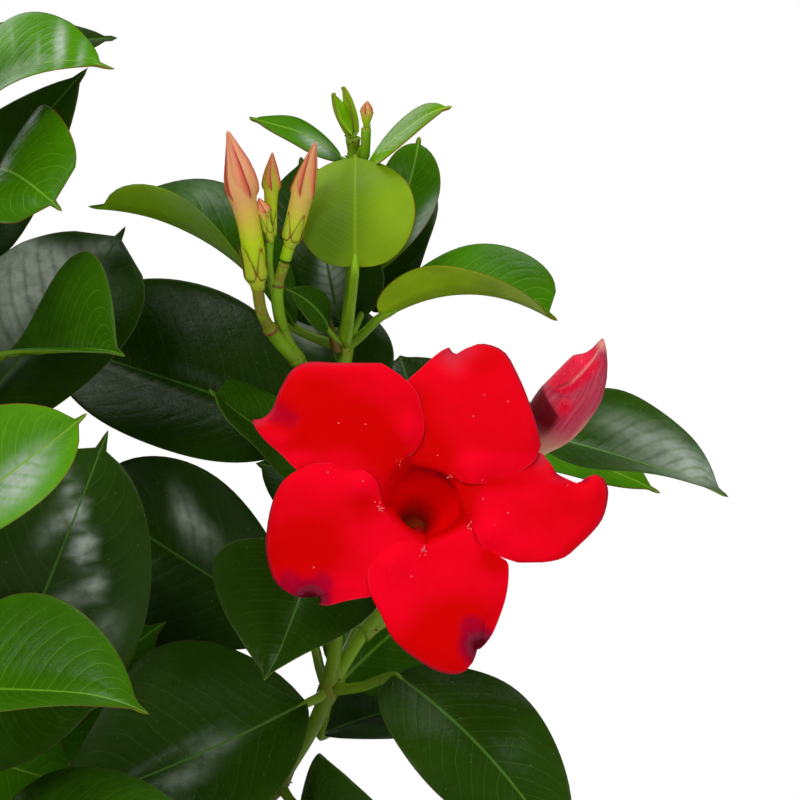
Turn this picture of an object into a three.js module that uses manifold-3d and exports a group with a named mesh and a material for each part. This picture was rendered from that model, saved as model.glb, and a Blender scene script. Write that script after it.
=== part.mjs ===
// A potted mandevilla: twining shoots with opposite glossy leaves, red five-lobed flowers and
// furled buds, standing in the soil of a clay pot. Millimetres, +Z up, the origin at the middle
// of the pot's underside, -Y the side that the large flower faces.
import * as THREE from 'three';
import { mergeVertices } from 'three/addons/utils/BufferGeometryUtils.js';
import Module from 'manifold-3d';

const wasm = await Module();
wasm.setup();

// ---- driving dimensions -------------------------------------------------------------------
const POT_HEIGHT = 126;
const POT_RIM = 73; // outer radius at the top
const POT_FOOT = 53; // outer radius at the bottom
const POT_COLLAR = 27; // height of the thicker band under the rim
const POT_STEP = 3.5; // how far the band stands out
const POT_WALL = 6;
const POT_FLOOR = 8;
const DRAIN_RADIUS = 4.5;
const DRAIN_RING = 30; // the drain holes lie around the middle, which stays whole
const SOIL_TOP = 116;
const SOIL_CROWN = 3;
const SEAT = 0.3; // play between neighbouring pieces
const HOLE_DEPTH = 14; // how deep a stem stands in the soil
const BLADE = 0.9; // thickness of a leaf blade
const PETIOLE = 2.2; // width of a leaf stalk
const PETAL = 1.0; // thickness of a petal lobe
const MOUTH = 10.6; // radius of a flower's mouth
const TUBE = 46; // length of a flower's tube, mouth to calyx
const FINENESS = 0.06; // facets smaller than this are merged after a join
const CLEAR = 6.5; // least distance between the sampled points of two grown leaves
const WIDEST = 0.43; // the usual widest place of a blade, from its base at 0 to its tip at 1

// ---- small helpers ------------------------------------------------------------------------
const V = (p) => new THREE.Vector3(p[0], p[1], p[2]);
const radians = (degrees) => (degrees * Math.PI) / 180;

function solid(geometry) {
  const bare = geometry.clone();
  bare.deleteAttribute('normal');
  bare.deleteAttribute('uv');
  const merged = mergeVertices(bare, 1e-4);
  const mesh = new wasm.Mesh({
    numProp: 3,
    vertProperties: new Float32Array(merged.attributes.position.array),
    triVerts: new Uint32Array(merged.index.array),
  });
  mesh.merge();
  return new wasm.Manifold(mesh);
}

function fused(solids) {
  const sum = solids.reduce((so, next) => so.add(next)).asOriginal().simplify(FINENESS);
  return sum.decompose().sort((a, b) => b.volume() - a.volume())[0];
}

function geometryOf(body) {
  const mesh = body.getMesh();
  const geometry = new THREE.BufferGeometry();
  geometry.setAttribute('position', new THREE.BufferAttribute(new Float32Array(mesh.vertProperties), 3));
  geometry.setIndex(new THREE.BufferAttribute(new Uint32Array(mesh.triVerts), 1));
  geometry.computeVertexNormals();
  return geometry;
}

// A plane's grid, laid by place(u, v) with u and v from -1 to 1 and given a thickness. Both
// faces have the same diagonals, so they never meet where the sheet twists.
function sheet(across, along, thickness, place) {
  const plane = new THREE.PlaneGeometry(2, 2, across, along);
  const flat = plane.attributes.position;
  const count = flat.count;
  const step = 1e-3;
  const points = [];
  const under = [];
  for (let i = 0; i < count; i += 1) {
    const u = flat.getX(i);
    const v = flat.getY(i);
    const here = place(u, v);
    const du = place(Math.min(1, u + step), v).sub(place(Math.max(-1, u - step), v));
    const dv = place(u, Math.min(1, v + step)).sub(place(u, Math.max(-1, v - step)));
    const half = du.cross(dv).normalize().multiplyScalar(thickness(u, v) / 2);
    points.push(...here.clone().add(half).toArray());
    under.push(...here.clone().sub(half).toArray());
  }
  const faces = [];
  const top = plane.index.array;
  for (let i = 0; i < top.length; i += 3) {
    faces.push(top[i], top[i + 1], top[i + 2]);
    faces.push(top[i] + count, top[i + 2] + count, top[i + 1] + count);
  }
  const row = across + 1;
  const rim = [];
  for (let i = 0; i < across; i += 1) rim.push(along * row + i);
  for (let j = along; j > 0; j -= 1) rim.push(j * row + across);
  for (let i = across; i > 0; i -= 1) rim.push(i);
  for (let j = 0; j < along; j += 1) rim.push(j * row);
  rim.forEach((a, i) => {
    const b = rim[(i + 1) % rim.length];
    faces.push(a + count, b + count, b);
    faces.push(a + count, b, a);
  });
  const geometry = new THREE.BufferGeometry();
  geometry.setAttribute('position', new THREE.BufferAttribute(new Float32Array([...points, ...under]), 3));
  geometry.setIndex(faces);
  return solid(geometry);
}

// A tapering stem: a cylinder's rings set along a smooth curve through the points.
function stem(points, start, end, steps) {
  const curve = new THREE.CatmullRomCurve3(points.map(V), false, 'centripetal');
  const rod = new THREE.CylinderGeometry(end, start, 1, 6, steps);
  const at = rod.attributes.position;
  for (let i = 0; i < at.count; i += 1) {
    const t = at.getY(i) + 0.5;
    const along = curve.getTangent(t);
    const side = new THREE.Vector3(0, 1, 0).cross(along).normalize();
    const up = along.clone().cross(side);
    const here = curve.getPoint(t);
    here.addScaledVector(side, at.getX(i)).addScaledVector(up, -at.getZ(i));
    at.setXYZ(i, here.x, here.y, here.z);
  }
  return solid(rod);
}

// A round solid whose profile [[distance along the axis, radius], ...] runs from one point to another.
function turned(profile, from, to, sides) {
  const length = V(to).sub(V(from)).length();
  const line = profile.map(([t, radius]) => new THREE.Vector2(radius, t * length));
  const body = new THREE.LatheGeometry(line, sides);
  const turn = new THREE.Quaternion();
  turn.setFromUnitVectors(new THREE.Vector3(0, 1, 0), V(to).sub(V(from)).normalize());
  body.applyQuaternion(turn);
  body.translate(from[0], from[1], from[2]);
  return solid(body);
}

// ---- leaves -------------------------------------------------------------------------------
// [name, root on the stem, base of the blade, tip, width, the way its upper face looks,
//  arch, fold in degrees, fullness of the outline, curl of the tip, twist in degrees,
//  the widest place along the blade where it isn't the usual one]
const N0 = [66, -12, 203];
const N1 = [78, -12, 225];
const NA = [80, -8, 255];
const NB = [81, -6.5, 267];
const NC = [82, -4, 285];
const ND = [82, -3.3, 294];
const N2 = [82, -2, 306];
const N3 = [84, 2, 349];
const N4 = [83.8, 0.6, 355.5];
const B0 = [93, 5, 262];
const B1 = [101, 13, 284];
const M0 = [-22, -18, 205];
const M1 = [-24, -20, 225];
const M3 = [-24, -16, 292];
const M4 = [-22, -14, 325];
const M5 = [-20, -12, 352];
const M6 = [-21, -11, 370];
const F1 = [-27, -62, 195];
const F2 = [-29, -67, 225];
const F3 = [-29, -70, 255];

const RIGHT_LEAVES = [
  ['r1', B1, [124, 6, 285.9], [173.6, -4, 272.5], 35.6, [0.15, -0.6, 0.79], -0.5, 32, 0.74, -3.2, 20, 0.47],
  ['r2', B1, [112, 26, 284], [158, 22, 268], 26, [0.1, -0.55, 0.85], 2, 20, 0.72, 0, 0],
  ['r3', NB, [78.5, -17, 276.5], [49.5, -19, 297], 29.7, [0.2, -0.49, 0.85], -0.2, 18, 0.22, 1.2, -23, 0.46],
  ['r4', B1, [100, 25, 284], [95, 38, 300], 30, [0, -0.9, 0.3], 2, 10, 0.72, 0, 0],
  ['r5', B0, [88, 17, 267], [60, 25, 275], 30, [0, -0.7, 0.7], 2, 10, 0.72, 0, 0],
  ['r6', NC, [73, 3, 286], [10.2, 10, 306.3], 51.1, [0.03, -0.86, 0.51], 1.2, 28, 0.37, 0.5, -15, 0.55],
  ['r7', N1, [73.8, 0, 236], [17.5, 6, 271.5], 51.5, [0.19, -0.97, -0.13], 5.1, 26, 0.52, -0.2, 21, 0.66],
  ['r8', NA, [75.5, -30, 261.5], [63.5, -48, 231.6], 48.8, [-0.21, -0.98, 0.03], -3.3, 34, 0.75, 2.9, -17, 0.33],
  ['r9', N1, [73, -18, 223], [8.5, -50, 200.5], 60, [0.17, -0.8, 0.58], -4.5, 38, 0.81, 0, 35, 0.42],
  ['r10', N1, [93.8, -20, 230], [134.5, -42, 188.5], 32.7, [0.21, -0.85, 0.48], 8, 11, 0.53, 0.5, -34, 0.43],
  ['r11', N0, [71.1, -15, 196.7], [90.1, -38, 187.9], 38.5, [-0.27, -0.96, -0.04], 5.4, 15, 0.22, -5, -13, 0.49],
  ['r12', N1, [76, -1, 212.5], [119, 34, 215], 36, [-0.02, -0.36, 0.93], 3.4, 12, 0.74, 0, -1, 0.46],
  ['r13', N1, [81, 7, 224.5], [113, 24, 250], 36, [-0.3, -0.9, 0.3], 2, 12, 0.5, 0, 0, 0.45],
  ['t1', N2, [84.5, -24, 326.5], [84.5, -9, 352], 28.5, [0, 0.97, 0.2], -6, 6, 0.45, 0, 0],
  ['t2', N2, [90.2, -8, 313.9], [132.2, -14, 313], 31.1, [0.07, -0.03, 1], 6.8, 41, 0.34, 0.2, -35, 0.59],
  ['t3', N2, [70.1, -1, 310.5], [22.1, -9, 341], 45.9, [0, -0.41, 0.91], 8, 29, 0.59, -1.6, -60, 0.62],
  ['t4', N2, [89.5, 8, 323], [99.9, 13, 355], 15.9, [0.33, -0.9, 0.29], 3.9, 20, 0.53, -1.1, 9, 0.63],
  ['t5', N2, [85.7, 16, 313.9], [103.4, 22, 343.1], 24.4, [-0.27, -0.8, 0.54], 4.5, 16, 0.48, -0.2, 2, 0.38],
  ['t6', N2, [77, 20, 315], [71, 30, 349], 30, [-0.1, -0.9, 0.3], 3, 12, 0.72, 0, 0],
  ['t7', N2, [81, 5, 310], [76, 9, 336], 27, [-0.2, -0.9, 0.3], 3, 12, 0.6, 0, 0],
  ['t8', N2, [78, -9, 311], [68, -15, 321], 11, [0.3, -0.7, 0.6], 2, 12, 0.72, 0, 0],
  ['t9', NC, [85, 14, 290], [72, 24, 315.5], 28, [0.1, -0.9, 0.3], 2, 12, 0.5, 0, 0],
  ['t10', N3, [81.1, 3, 350.6], [58.8, -8, 360.1], 12.7, [0.28, -0.52, 0.81], 2.3, 4, 0.72, 1.1, -4, 0.43],
  ['t11', N3, [87, -4, 348.7], [106.3, -14, 364.8], 18.8, [-0.89, -0.05, 0.46], 1.2, 8, 0.68, -1.4, -6, 0.45],
  ['t12', N4, [83.4, -0.4, 356.2], [79.3, -2.5, 366.4], 6, [0.7, -0.5, 0.4], -1, 30, 0.6, 0, 0],
  ['t13', N4, [84, 1, 356.6], [81.2, 1.2, 367.6], 6, [-0.8, -0.2, 0.5], -1, 30, 0.6, 0, 0],
];
const CENTRE_LEAVES = [
  ['c1', M5, [-11, -15, 357.2], [26.2, -41, 377.6], 53.6, [-0.01, -0.57, 0.82], 5.7, 14, 0.55, -5, 35, 0.4],
  ['c2', M6, [-13, -4, 374], [28, 4, 379], 14, [-0.3, -0.85, 0.4], 2, 12, 0.72, 0, 0],
  ['c3', M4, [-13.5, -4, 326.3], [21.2, 2, 372], 30.1, [-0.47, -0.87, 0.13], 3.6, 11, 0.73, 0.4, 3, 0.33],
  ['c4', M5, [0.4, -20, 347], [16.5, -58, 344], 37.1, [-0.37, -0.65, 0.66], 6.7, 21, 0.22, -2.1, -3, 0.45],
  ['c5', M3, [-6.3, -4, 290], [32, -14, 335.5], 46.8, [-0.08, -0.92, 0.38], -0.3, 38, 0.24, 4, -35, 0.49],
  ['c6', M3, [2, -14, 305.8], [30.2, -58, 311.3], 51, [-0.57, -0.4, 0.72], -0.1, 46, 0.85, -3, 10, 0.68],
  ['c7', M1, [-2.4, -34, 216.6], [27.7, -52, 291], 50.3, [0.18, -0.94, 0.28], 2.8, 10, 0.5, -1.7, -12, 0.46],
  ['c8', M1, [-1, -14, 209], [40, -14, 242], 30, [0, -0.8, 0.5], 2, 10, 0.72, 0, 0],
  ['c9', M0, [-16, -25, 214], [20, -36, 205], 38, [0, -0.9, 0.4], 2, 10, 0.72, 0, 0],
];
const FRONT_LEAVES = [
  ['f1', F3, [-15.9, -70, 264.3], [25.5, -84, 298.4], 35.5, [-0.17, -0.8, 0.57], 2.1, 38, 0.46, 1.8, -35, 0.57],
  ['f2', F2, [-12.3, -80, 234.4], [38.2, -96, 234.4], 50.7, [0.01, -0.58, 0.81], 2.6, 34, 0.79, -3.2, 12, 0.46],
  ['f3', F2, [-14, -55, 231], [27, -62, 229], 38, [0, -0.9, 0.4], 2, 10, 0.72, 0, 0],
  ['f4', F1, [-2.5, -70, 194.8], [47, -84, 209.3], 41.1, [0.01, -0.51, 0.86], 4.2, 6, 0.75, 0.9, -1, 0.37],
];

function leafFrom([name, root, base, tip, width, face, arch, fold, full, curl, twist, widest = WIDEST]) {
  const places = { root: V(root), base: V(base), tip: V(tip), face: V(face) };
  return { name, ...places, width, arch, fold, full, curl, twist, widest };
}

function outline(t, full, widest) {
  const s = Math.pow(Math.min(1, t / 0.94), Math.log(0.5) / Math.log(widest));
  const body = Math.pow(Math.max(0, Math.sin(Math.PI * s)), full);
  if (t < 0.5) return body;
  const point = 0.15 * Math.min(1, (1 - t) / 0.15);
  return Math.pow(Math.pow(body, 4) + Math.pow(point, 4), 0.25);
}

// The blade's middle surface: u from -1 to 1 across, t from 0 at the base to 1 at the tip.
function bladePoint(leaf, u, t) {
  const line = leaf.tip.clone().sub(leaf.base);
  const length = line.length();
  const a = line.divideScalar(length);
  const n0 = leaf.face.clone().addScaledVector(a, -leaf.face.dot(a)).normalize();
  const k = Math.max(0, (t - 0.7) / 0.3);
  const mid = leaf.base.clone().addScaledVector(a, length * t);
  mid.addScaledVector(n0, leaf.arch * 4 * t * (1 - t) + leaf.curl * k * k);
  const run = a.clone().multiplyScalar(length);
  run.addScaledVector(n0, leaf.arch * 4 * (1 - 2 * t) + (leaf.curl * 2 * k) / 0.3).normalize();
  const n = n0.clone().addScaledVector(run, -n0.dot(run)).normalize();
  const s = run.clone().cross(n);
  const turn = radians(leaf.twist) * (t - 0.3);
  const across = s.clone().multiplyScalar(Math.cos(turn)).addScaledVector(n, Math.sin(turn));
  const up = n.clone().multiplyScalar(Math.cos(turn)).addScaledVector(s, -Math.sin(turn));
  const w = Math.max(0.7, (leaf.width / 2) * outline(t, leaf.full, leaf.widest));
  const fold = radians(leaf.fold);
  mid.addScaledVector(across, u * w * Math.cos(fold));
  return mid.addScaledVector(up, Math.abs(u) * w * Math.sin(fold) - 0.12 * w * u * u);
}

// One leaf with its stalk. The rows run from the root, inside the stem, to the tip.
function leafSolid(leaf, rows) {
  const last = rows.length - 1;
  const stalk = leaf.base.clone().sub(leaf.root);
  const along = stalk.clone().normalize();
  const upward = leaf.face.clone().addScaledVector(along, -leaf.face.dot(along)).normalize();
  const side = along.clone().cross(upward);
  const place = (u, v) => {
    const row = ((v + 1) / 2) * last;
    const k = Math.min(last - 1, Math.floor(row));
    const t = rows[k] + (rows[k + 1] - rows[k]) * (row - k);
    if (t >= 0) return bladePoint(leaf, u, t);
    const here = leaf.base.clone().addScaledVector(stalk, t);
    return here.addScaledVector(side, (u * PETIOLE) / 2);
  };
  const thickness = (u, v) => (v < -1 + 1.5 / last ? PETIOLE * 0.8 : BLADE);
  return sheet(2, last, thickness, place);
}

const FINE_ROWS = [-1, -0.1, 0.1, 0.34, 0.62, 0.86, 1];
const PLAIN_ROWS = [-1, -0.12, 0.12, 0.42, 0.74, 1];

// ---- stems --------------------------------------------------------------------------------
// Every shoot rises straight out of its own hole before it leans.
const SHOOTS = {
  shoot_right: {
    foot: [18, -4],
    path: [[22, -5, 138], [36, -9, 160], [52, -12, 184], N0, N1, NA, NB, NC, N2, [84, 1, 330], N3, N4],
    radius: [2.4, 1.2],
    sides: [
      [[N1, [86, 1, 240], B0, [98, 10, 275], B1], 1.7, 1.5],
      [[N1, [86, -9, 238], [93, -9, 247]], 1.6, 1.8, 'flower_front'],
      [[[86, -9, 238], [97, -4, 244]], 1.5, 1.8, 'bud_furled'],
      [[ND, [77, -11, 298], [71, -18, 304], [65.5, -24, 311]], 1.6, 1.7, 'bud_large'],
      [[[71, -18, 304], [67.5, -22, 312]], 1.4, 1.6, 'bud_long'],
      [[[67.5, -22, 312]], 1, 1.1, 'bud_small'],
      [[N3, [86.3, 0, 353]], 1, 1.2, 'bud_top'],
    ],
    leaves: RIGHT_LEAVES,
    whorls: [[0, 250], [1, 100], [2, 15], [3, 85]],
  },
  shoot_centre: {
    foot: [-8, -6],
    path: [[-10, -8, 140], [-16, -13, 175], M0, M1, [-26, -19, 258], M3, M4, M5, M6, [-21, -10, 378]],
    radius: [2.4, 1.2],
    sides: [],
    leaves: CENTRE_LEAVES,
    whorls: [[1, 60], [2, 150], [4, 100], [5, 190], [6, 120], [7, 200], [8, 100], [9, 170]],
  },
  shoot_front: {
    foot: [-12, -30],
    path: [[-14, -35, 140], [-22, -52, 170], F1, F2, F3, [-28, -67, 274], [-28, -65, 284]],
    radius: [2.2, 1.2],
    sides: [[[F3, [-33, -75, 259]], 1.5, 1.8, 'flower_low_left']],
    leaves: FRONT_LEAVES,
    whorls: [[1, 200], [2, 170], [3, 230], [4, 190], [5, 150], [6, 230]],
  },
  shoot_left: {
    foot: [-28, 4],
    path: [[-36, 4, 142], [-58, 2, 180], [-80, -4, 225], [-95, -8, 268], [-102, -8, 302], [-104, -8, 316]],
    radius: [2.3, 1.2],
    sides: [
      [[[-95, -8, 268], [-98, -13, 269]], 1.5, 1.8, 'flower_left'],
      [[[-102, -8, 302], [-101, -13, 306]], 1.3, 1.6, 'bud_left_1'],
      [[[-102, -8, 302], [-107, -9, 306]], 1.3, 1.6, 'bud_left_2'],
    ],
    leaves: [],
    whorls: [[0, 190], [1, 100], [2, 190], [3, 95], [4, 195], [5, 110]],
  },
  shoot_left_back: {
    foot: [-22, 26],
    path: [[-28, 34, 142], [-46, 52, 180], [-56, 66, 225], [-60, 74, 268], [-60, 78, 298], [-60, 79, 312]],
    radius: [2.3, 1.2],
    sides: [[[[-60, 78, 298], [-63, 82, 303]], 1.3, 1.6, 'bud_back']],
    leaves: [],
    whorls: [[0, 60], [1, 150], [2, 60], [3, 150], [4, 50], [5, 150]],
  },
  shoot_back: {
    foot: [6, 26],
    path: [[8, 35, 140], [12, 54, 172], [12, 68, 200], [14, 76, 226]],
    radius: [2.2, 1.3],
    sides: [[[[12, 68, 200], [4, 73, 203]], 1.5, 1.8, 'flower_back']],
    leaves: [],
    whorls: [[0, 100], [1, 10], [2, 100], [3, 170]],
  },
  shoot_low_front: {
    foot: [14, -30],
    path: [[18, -37, 138], [32, -54, 154], [48, -68, 166], [56, -74, 170]],
    radius: [2, 1.4],
    sides: [[[[48, -68, 166], [53, -62, 166]], 1.4, 1.8, 'flower_low_right']],
    leaves: [],
    whorls: [[0, 240], [1, 330], [2, 250], [3, 300]],
  },
  shoot_low_right: {
    foot: [36, 8],
    path: [[41, 9, 138], [64, 14, 154], [92, 20, 166], [106, 22, 171]],
    radius: [2, 1.4],
    sides: [],
    leaves: [],
    whorls: [[0, 350], [1, 270], [2, 70], [3, 350]],
  },
  shoot_low_back: {
    foot: [24, 34],
    path: [[27, 41, 138], [42, 58, 150], [58, 74, 156]],
    radius: [2, 1.4],
    sides: [],
    leaves: [],
    whorls: [[0, 130], [1, 20], [2, 100], [2, 20]],
  },
  shoot_low_left: {
    foot: [-38, -18],
    path: [[-45, -21, 140], [-70, -32, 158], [-96, -42, 178], [-108, -46, 188]],
    radius: [2, 1.4],
    sides: [],
    leaves: [],
    whorls: [[0, 190], [2, 110], [3, 190]],
  },
};

// ---- flowers and buds -----------------------------------------------------------------------
// [direction in degrees, reach, half width, place of the pointed corner across the lobe]
const LOBES = [
  [140, 45.5, 17.5, 11],
  [58, 41, 18.5, 14],
  [-5, 43.5, 14, 9],
  [-83, 41.3, 16.5, 8],
  [-162, 40, 17.5, 14],
];
// [name, middle of the mouth, the way it looks, roll in degrees, scale]
const FLOWERS = [
  ['flower_front', [100.7, -58, 275.3], [0.1, -0.955, 0.28], 0, 1],
  ['flower_left', [-123, -58, 268], [-0.5, -0.84, 0.12], 40, 0.96],
  ['flower_low_left', [-72, -112, 226], [-0.6, -0.62, -0.55], 75, 0.95],
  ['flower_low_right', [96, -86, 138], [0.62, -0.6, -0.35], 20, 0.92],
  ['flower_back', [-24, 117, 230], [-0.42, 0.82, 0.4], 55, 0.96],
];
const BUD = [[0, 0], [0, 1.7], [0.14, 2.3], [0.4, 2.9], [0.62, 4], [0.76, 3.7], [0.92, 1.6], [1, 0.35], [1, 0]];
const FURLED = [[0, 0], [0, 2.2], [0.16, 3], [0.42, 4.6], [0.62, 8], [0.74, 8.6], [0.87, 5.6], [0.97, 1.6], [1, 0.5], [1, 0]];
// [name, profile, bottom, tip, girth]
const BUDS = [
  ['bud_furled', FURLED, [111.3, -11.5, 256.6], [142.5, -25, 310.2], 1],
  ['bud_large', BUD, [60.4, -29, 323.7], [54.9, -32, 359.4], 1],
  ['bud_long', BUD, [67.8, -26, 328.2], [75.3, -29, 356.5], 0.78],
  ['bud_small', BUD, [64.6, -27.5, 334.3], [65.3, -29, 354.1], 0.55],
  ['bud_top', BUD, [87, -3.9, 358.2], [87.3, -5, 364.6], 0.42],
  ['bud_left_1', BUD, [-98.9, -18.4, 317], [-95, -26, 347], 0.85],
  ['bud_left_2', BUD, [-111.2, -11.1, 317], [-118, -14, 342], 0.75],
  ['bud_back', BUD, [-67.3, 87.4, 313], [-73, 94, 340], 0.85],
];

function frameOf(axis, roll) {
  const z = V(axis).normalize();
  const y = new THREE.Vector3(0, 0, 1).addScaledVector(z, -z.z).normalize();
  const x = y.clone().cross(z);
  const frame = new THREE.Matrix4().makeBasis(x, y, z);
  return frame.multiply(new THREE.Matrix4().makeRotationZ(radians(roll)));
}

function lobePoint([turn, reach, wide, hook], u, v) {
  const opening = Math.sin((Math.min(1, v / 0.5) * Math.PI) / 2);
  const closing = Math.max(0, (v - 0.5) / 0.5);
  const across = u * (8.5 + (wide - 8.5) * opening) * (1 - 0.08 * closing * closing);
  const off = u - hook / wide;
  const end = reach * (1 - 0.26 * Math.pow(Math.abs(u - 0.1), 2.6)) + 2.2 * Math.exp(-((off / 0.12) ** 2));
  const wrap = ((1 - v) ** 2 * across * across) / (2 * MOUTH);
  const out = MOUTH + (end - MOUTH) * v - wrap;
  const x = Math.max(0, (end - MOUTH) * v) / (reach - MOUTH);
  const curl = 3 * v ** 6 * Math.exp(-((off / 0.25) ** 2));
  const rise = 4.5 * x - 5.5 * x * x - 0.14 * across * Math.pow(x, 0.8) - curl;
  const angle = radians(turn);
  const c = Math.cos(angle);
  const s = Math.sin(angle);
  return new THREE.Vector3(out * c - across * s, out * s + across * c, rise);
}

function flowerSolid([, mouth, axis, roll, scale]) {
  const profile = [
    [0, -TUBE], [2.4, -TUBE], [3.6, -34], [7.2, -13], [MOUTH + 0.8, 0.3],
    [MOUTH - 0.4, 0.3], [6.2, -13], [0, -32],
  ];
  const funnel = new THREE.LatheGeometry(profile.map(([r, z]) => new THREE.Vector2(r, z)), 8);
  funnel.rotateX(Math.PI / 2);
  const lobes = LOBES.map((lobe) => sheet(3, 3, () => PETAL, (u, v) => lobePoint(lobe, u, (v + 1) / 2)));
  const bloom = fused([solid(funnel), ...lobes]);
  const place = new THREE.Matrix4().makeTranslation(mouth[0], mouth[1], mouth[2]);
  place.multiply(frameOf(axis, roll)).scale(new THREE.Vector3(scale, scale, scale));
  return bloom.transform(place.elements);
}

function budSolid([, profile, bottom, tip, girth]) {
  return turned(profile.map(([t, r]) => [t, r * girth]), bottom, tip, 8);
}

// ---- growth: the leaves that fill the plant --------------------------------------------------
const taken = []; // sampled points of everything already placed

function leafSamples(leaf) {
  const points = [];
  for (let j = 0; j < 7; j += 1) {
    for (let i = -2; i <= 2; i += 1) points.push(bladePoint(leaf, i / 2, 0.05 + 0.15 * j));
  }
  return points;
}

function stemSamples(points) {
  const curve = new THREE.CatmullRomCurve3(points.map(V), false, 'centripetal');
  const count = Math.ceil(curve.points.length * 4);
  return Array.from({ length: count + 1 }, (_, i) => curve.getPoint(i / count));
}

function flowerSamples([, mouth, axis, roll, scale]) {
  const frame = frameOf(axis, roll);
  const points = [];
  LOBES.forEach((lobe) => {
    for (const v of [0, 0.35, 0.7, 1]) {
      for (const u of [-1, -0.4, 0.3, 1]) points.push(lobePoint(lobe, u, v));
    }
  });
  for (let k = 1; k < 8; k += 1) points.push(new THREE.Vector3(0, 0, (-TUBE * k) / 8));
  return points.map((p) => p.multiplyScalar(scale).applyMatrix4(frame).add(V(mouth)));
}

// Where a flower or a bud stands on its stalk, and the way it points there.
function seatOf(name) {
  const flower = FLOWERS.find((entry) => entry[0] === name);
  if (flower) {
    const way = V(flower[2]).normalize();
    return [V(flower[1]).addScaledVector(way, -TUBE * flower[4]), way];
  }
  const [, , bottom, tip] = BUDS.find((entry) => entry[0] === name);
  return [V(bottom), V(tip).sub(V(bottom)).normalize()];
}

// A side stem's points; one that carries a flower or a bud runs on to just under it.
function sidePath([points, , , carried]) {
  if (!carried) return points;
  const [seat, way] = seatOf(carried);
  const ends = [7, SEAT].map((back) => seat.clone().addScaledVector(way, -back).toArray());
  return [...points, ...ends];
}

function budSamples([, , bottom, tip]) {
  return [0, 0.2, 0.4, 0.6, 0.8, 1].map((t) => V(bottom).lerp(V(tip), t));
}

// The open air around the tall sprays on the right stays open: a grown leaf keeps out of it,
// unless it lies behind the spread of the large leaves.
function keepsOut(p) {
  const height = p.z + 0.105 * p.y;
  if (p.x < -4 || height < 194) return true;
  return p.y > 12 && ((p.x < 60 && height < 254) || (p.x < 10 && height < 330));
}

function clearOfPot(p) {
  const reach = Math.sqrt(p.x * p.x + p.y * p.y);
  return reach < POT_RIM + 12 ? p.z > POT_HEIGHT + 5 : p.z > 62;
}

let state = 20231;
function draw() {
  state = (state * 16807) % 2147483647;
  return state / 2147483647;
}

// A leaf drawn at random around a direction, taken if it has air around it. Leaves that point
// away from the plant's middle hang, those that point inwards rise, and all turn their upper
// faces outwards.
function grownLeaf(name, node, azimuth) {
  const outward = new THREE.Vector3(node[0] + 5, node[1], 0).normalize();
  for (let attempt = 0; attempt < 20; attempt += 1) {
    const turn = radians(azimuth + (draw() - 0.5) * (24 + 8 * attempt));
    const heading = new THREE.Vector3(Math.cos(turn), Math.sin(turn), 0);
    const lift = radians(44 * (draw() - 0.5) - 32 * heading.dot(outward));
    const length = (54 + 14 * draw()) * (1 - 0.02 * attempt);
    const stalk = 7 + 4 * draw();
    const width = length * (0.6 + 0.1 * draw());
    const way = heading.multiplyScalar(Math.cos(lift)).setZ(Math.sin(lift));
    const base = V(node).addScaledVector(way, stalk);
    const tip = base.clone().addScaledVector(way, length);
    const face = outward.clone().multiplyScalar(0.45 + 0.6 * draw()).setZ(0.7);
    const leaf = {
      name, root: V(node), base, tip, width, face, widest: WIDEST,
      arch: 2 + 5 * draw(), fold: 8 + 14 * draw(), full: 0.6 + 0.12 * draw(), curl: -3 * draw(), twist: 24 * (draw() - 0.5),
    };
    const samples = leafSamples(leaf);
    const free = samples.every((p) => keepsOut(p) && clearOfPot(p));
    if (free && samples.every((p) => taken.every((q) => q.distanceToSquared(p) > CLEAR * CLEAR))) {
      taken.push(...samples);
      return leaf;
    }
  }
  return null;
}

function stemPath(shoot) {
  const [x, y] = shoot.foot;
  return [[x, y, SOIL_TOP - HOLE_DEPTH + SEAT], [x, y, SOIL_TOP + 6], ...shoot.path];
}

for (const shoot of Object.values(SHOOTS)) {
  shoot.placed = shoot.leaves.map(leafFrom);
  shoot.placed.forEach((leaf) => taken.push(...leafSamples(leaf)));
}
FLOWERS.forEach((flower) => taken.push(...flowerSamples(flower)));
BUDS.forEach((bud) => taken.push(...budSamples(bud)));
const stemPoints = {};
for (const [name, shoot] of Object.entries(SHOOTS)) {
  stemPoints[name] = [...stemSamples(stemPath(shoot)), ...shoot.sides.flatMap((side) => stemSamples(sidePath(side)))];
}
for (const [name, shoot] of Object.entries(SHOOTS)) {
  shoot.whorls.forEach(([index, azimuth], k) => {
    const node = shoot.path[index];
    const hidden = Object.values(stemPoints).flat().filter((p) => p.distanceTo(V(node)) > 10);
    const before = taken.length;
    taken.push(...hidden);
    const pair = [0, 180].map((half) => grownLeaf(`${name}_${k}_${half}`, node, azimuth + half));
    taken.splice(before, hidden.length);
    shoot.placed.push(...pair.filter(Boolean));
  });
}

// ---- assembly -------------------------------------------------------------------------------
function shootSolid(shoot) {
  const path = stemPath(shoot);
  const handMade = shoot.leaves.length;
  const parts = [stem(path, shoot.radius[0], shoot.radius[1], path.length)];
  shoot.sides.forEach((side) => {
    const points = sidePath(side);
    parts.push(stem(points, side[1], side[2], points.length));
  });
  shoot.placed.forEach((leaf, i) => parts.push(leafSolid(leaf, i < handMade ? FINE_ROWS : PLAIN_ROWS)));
  return fused(parts);
}

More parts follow.
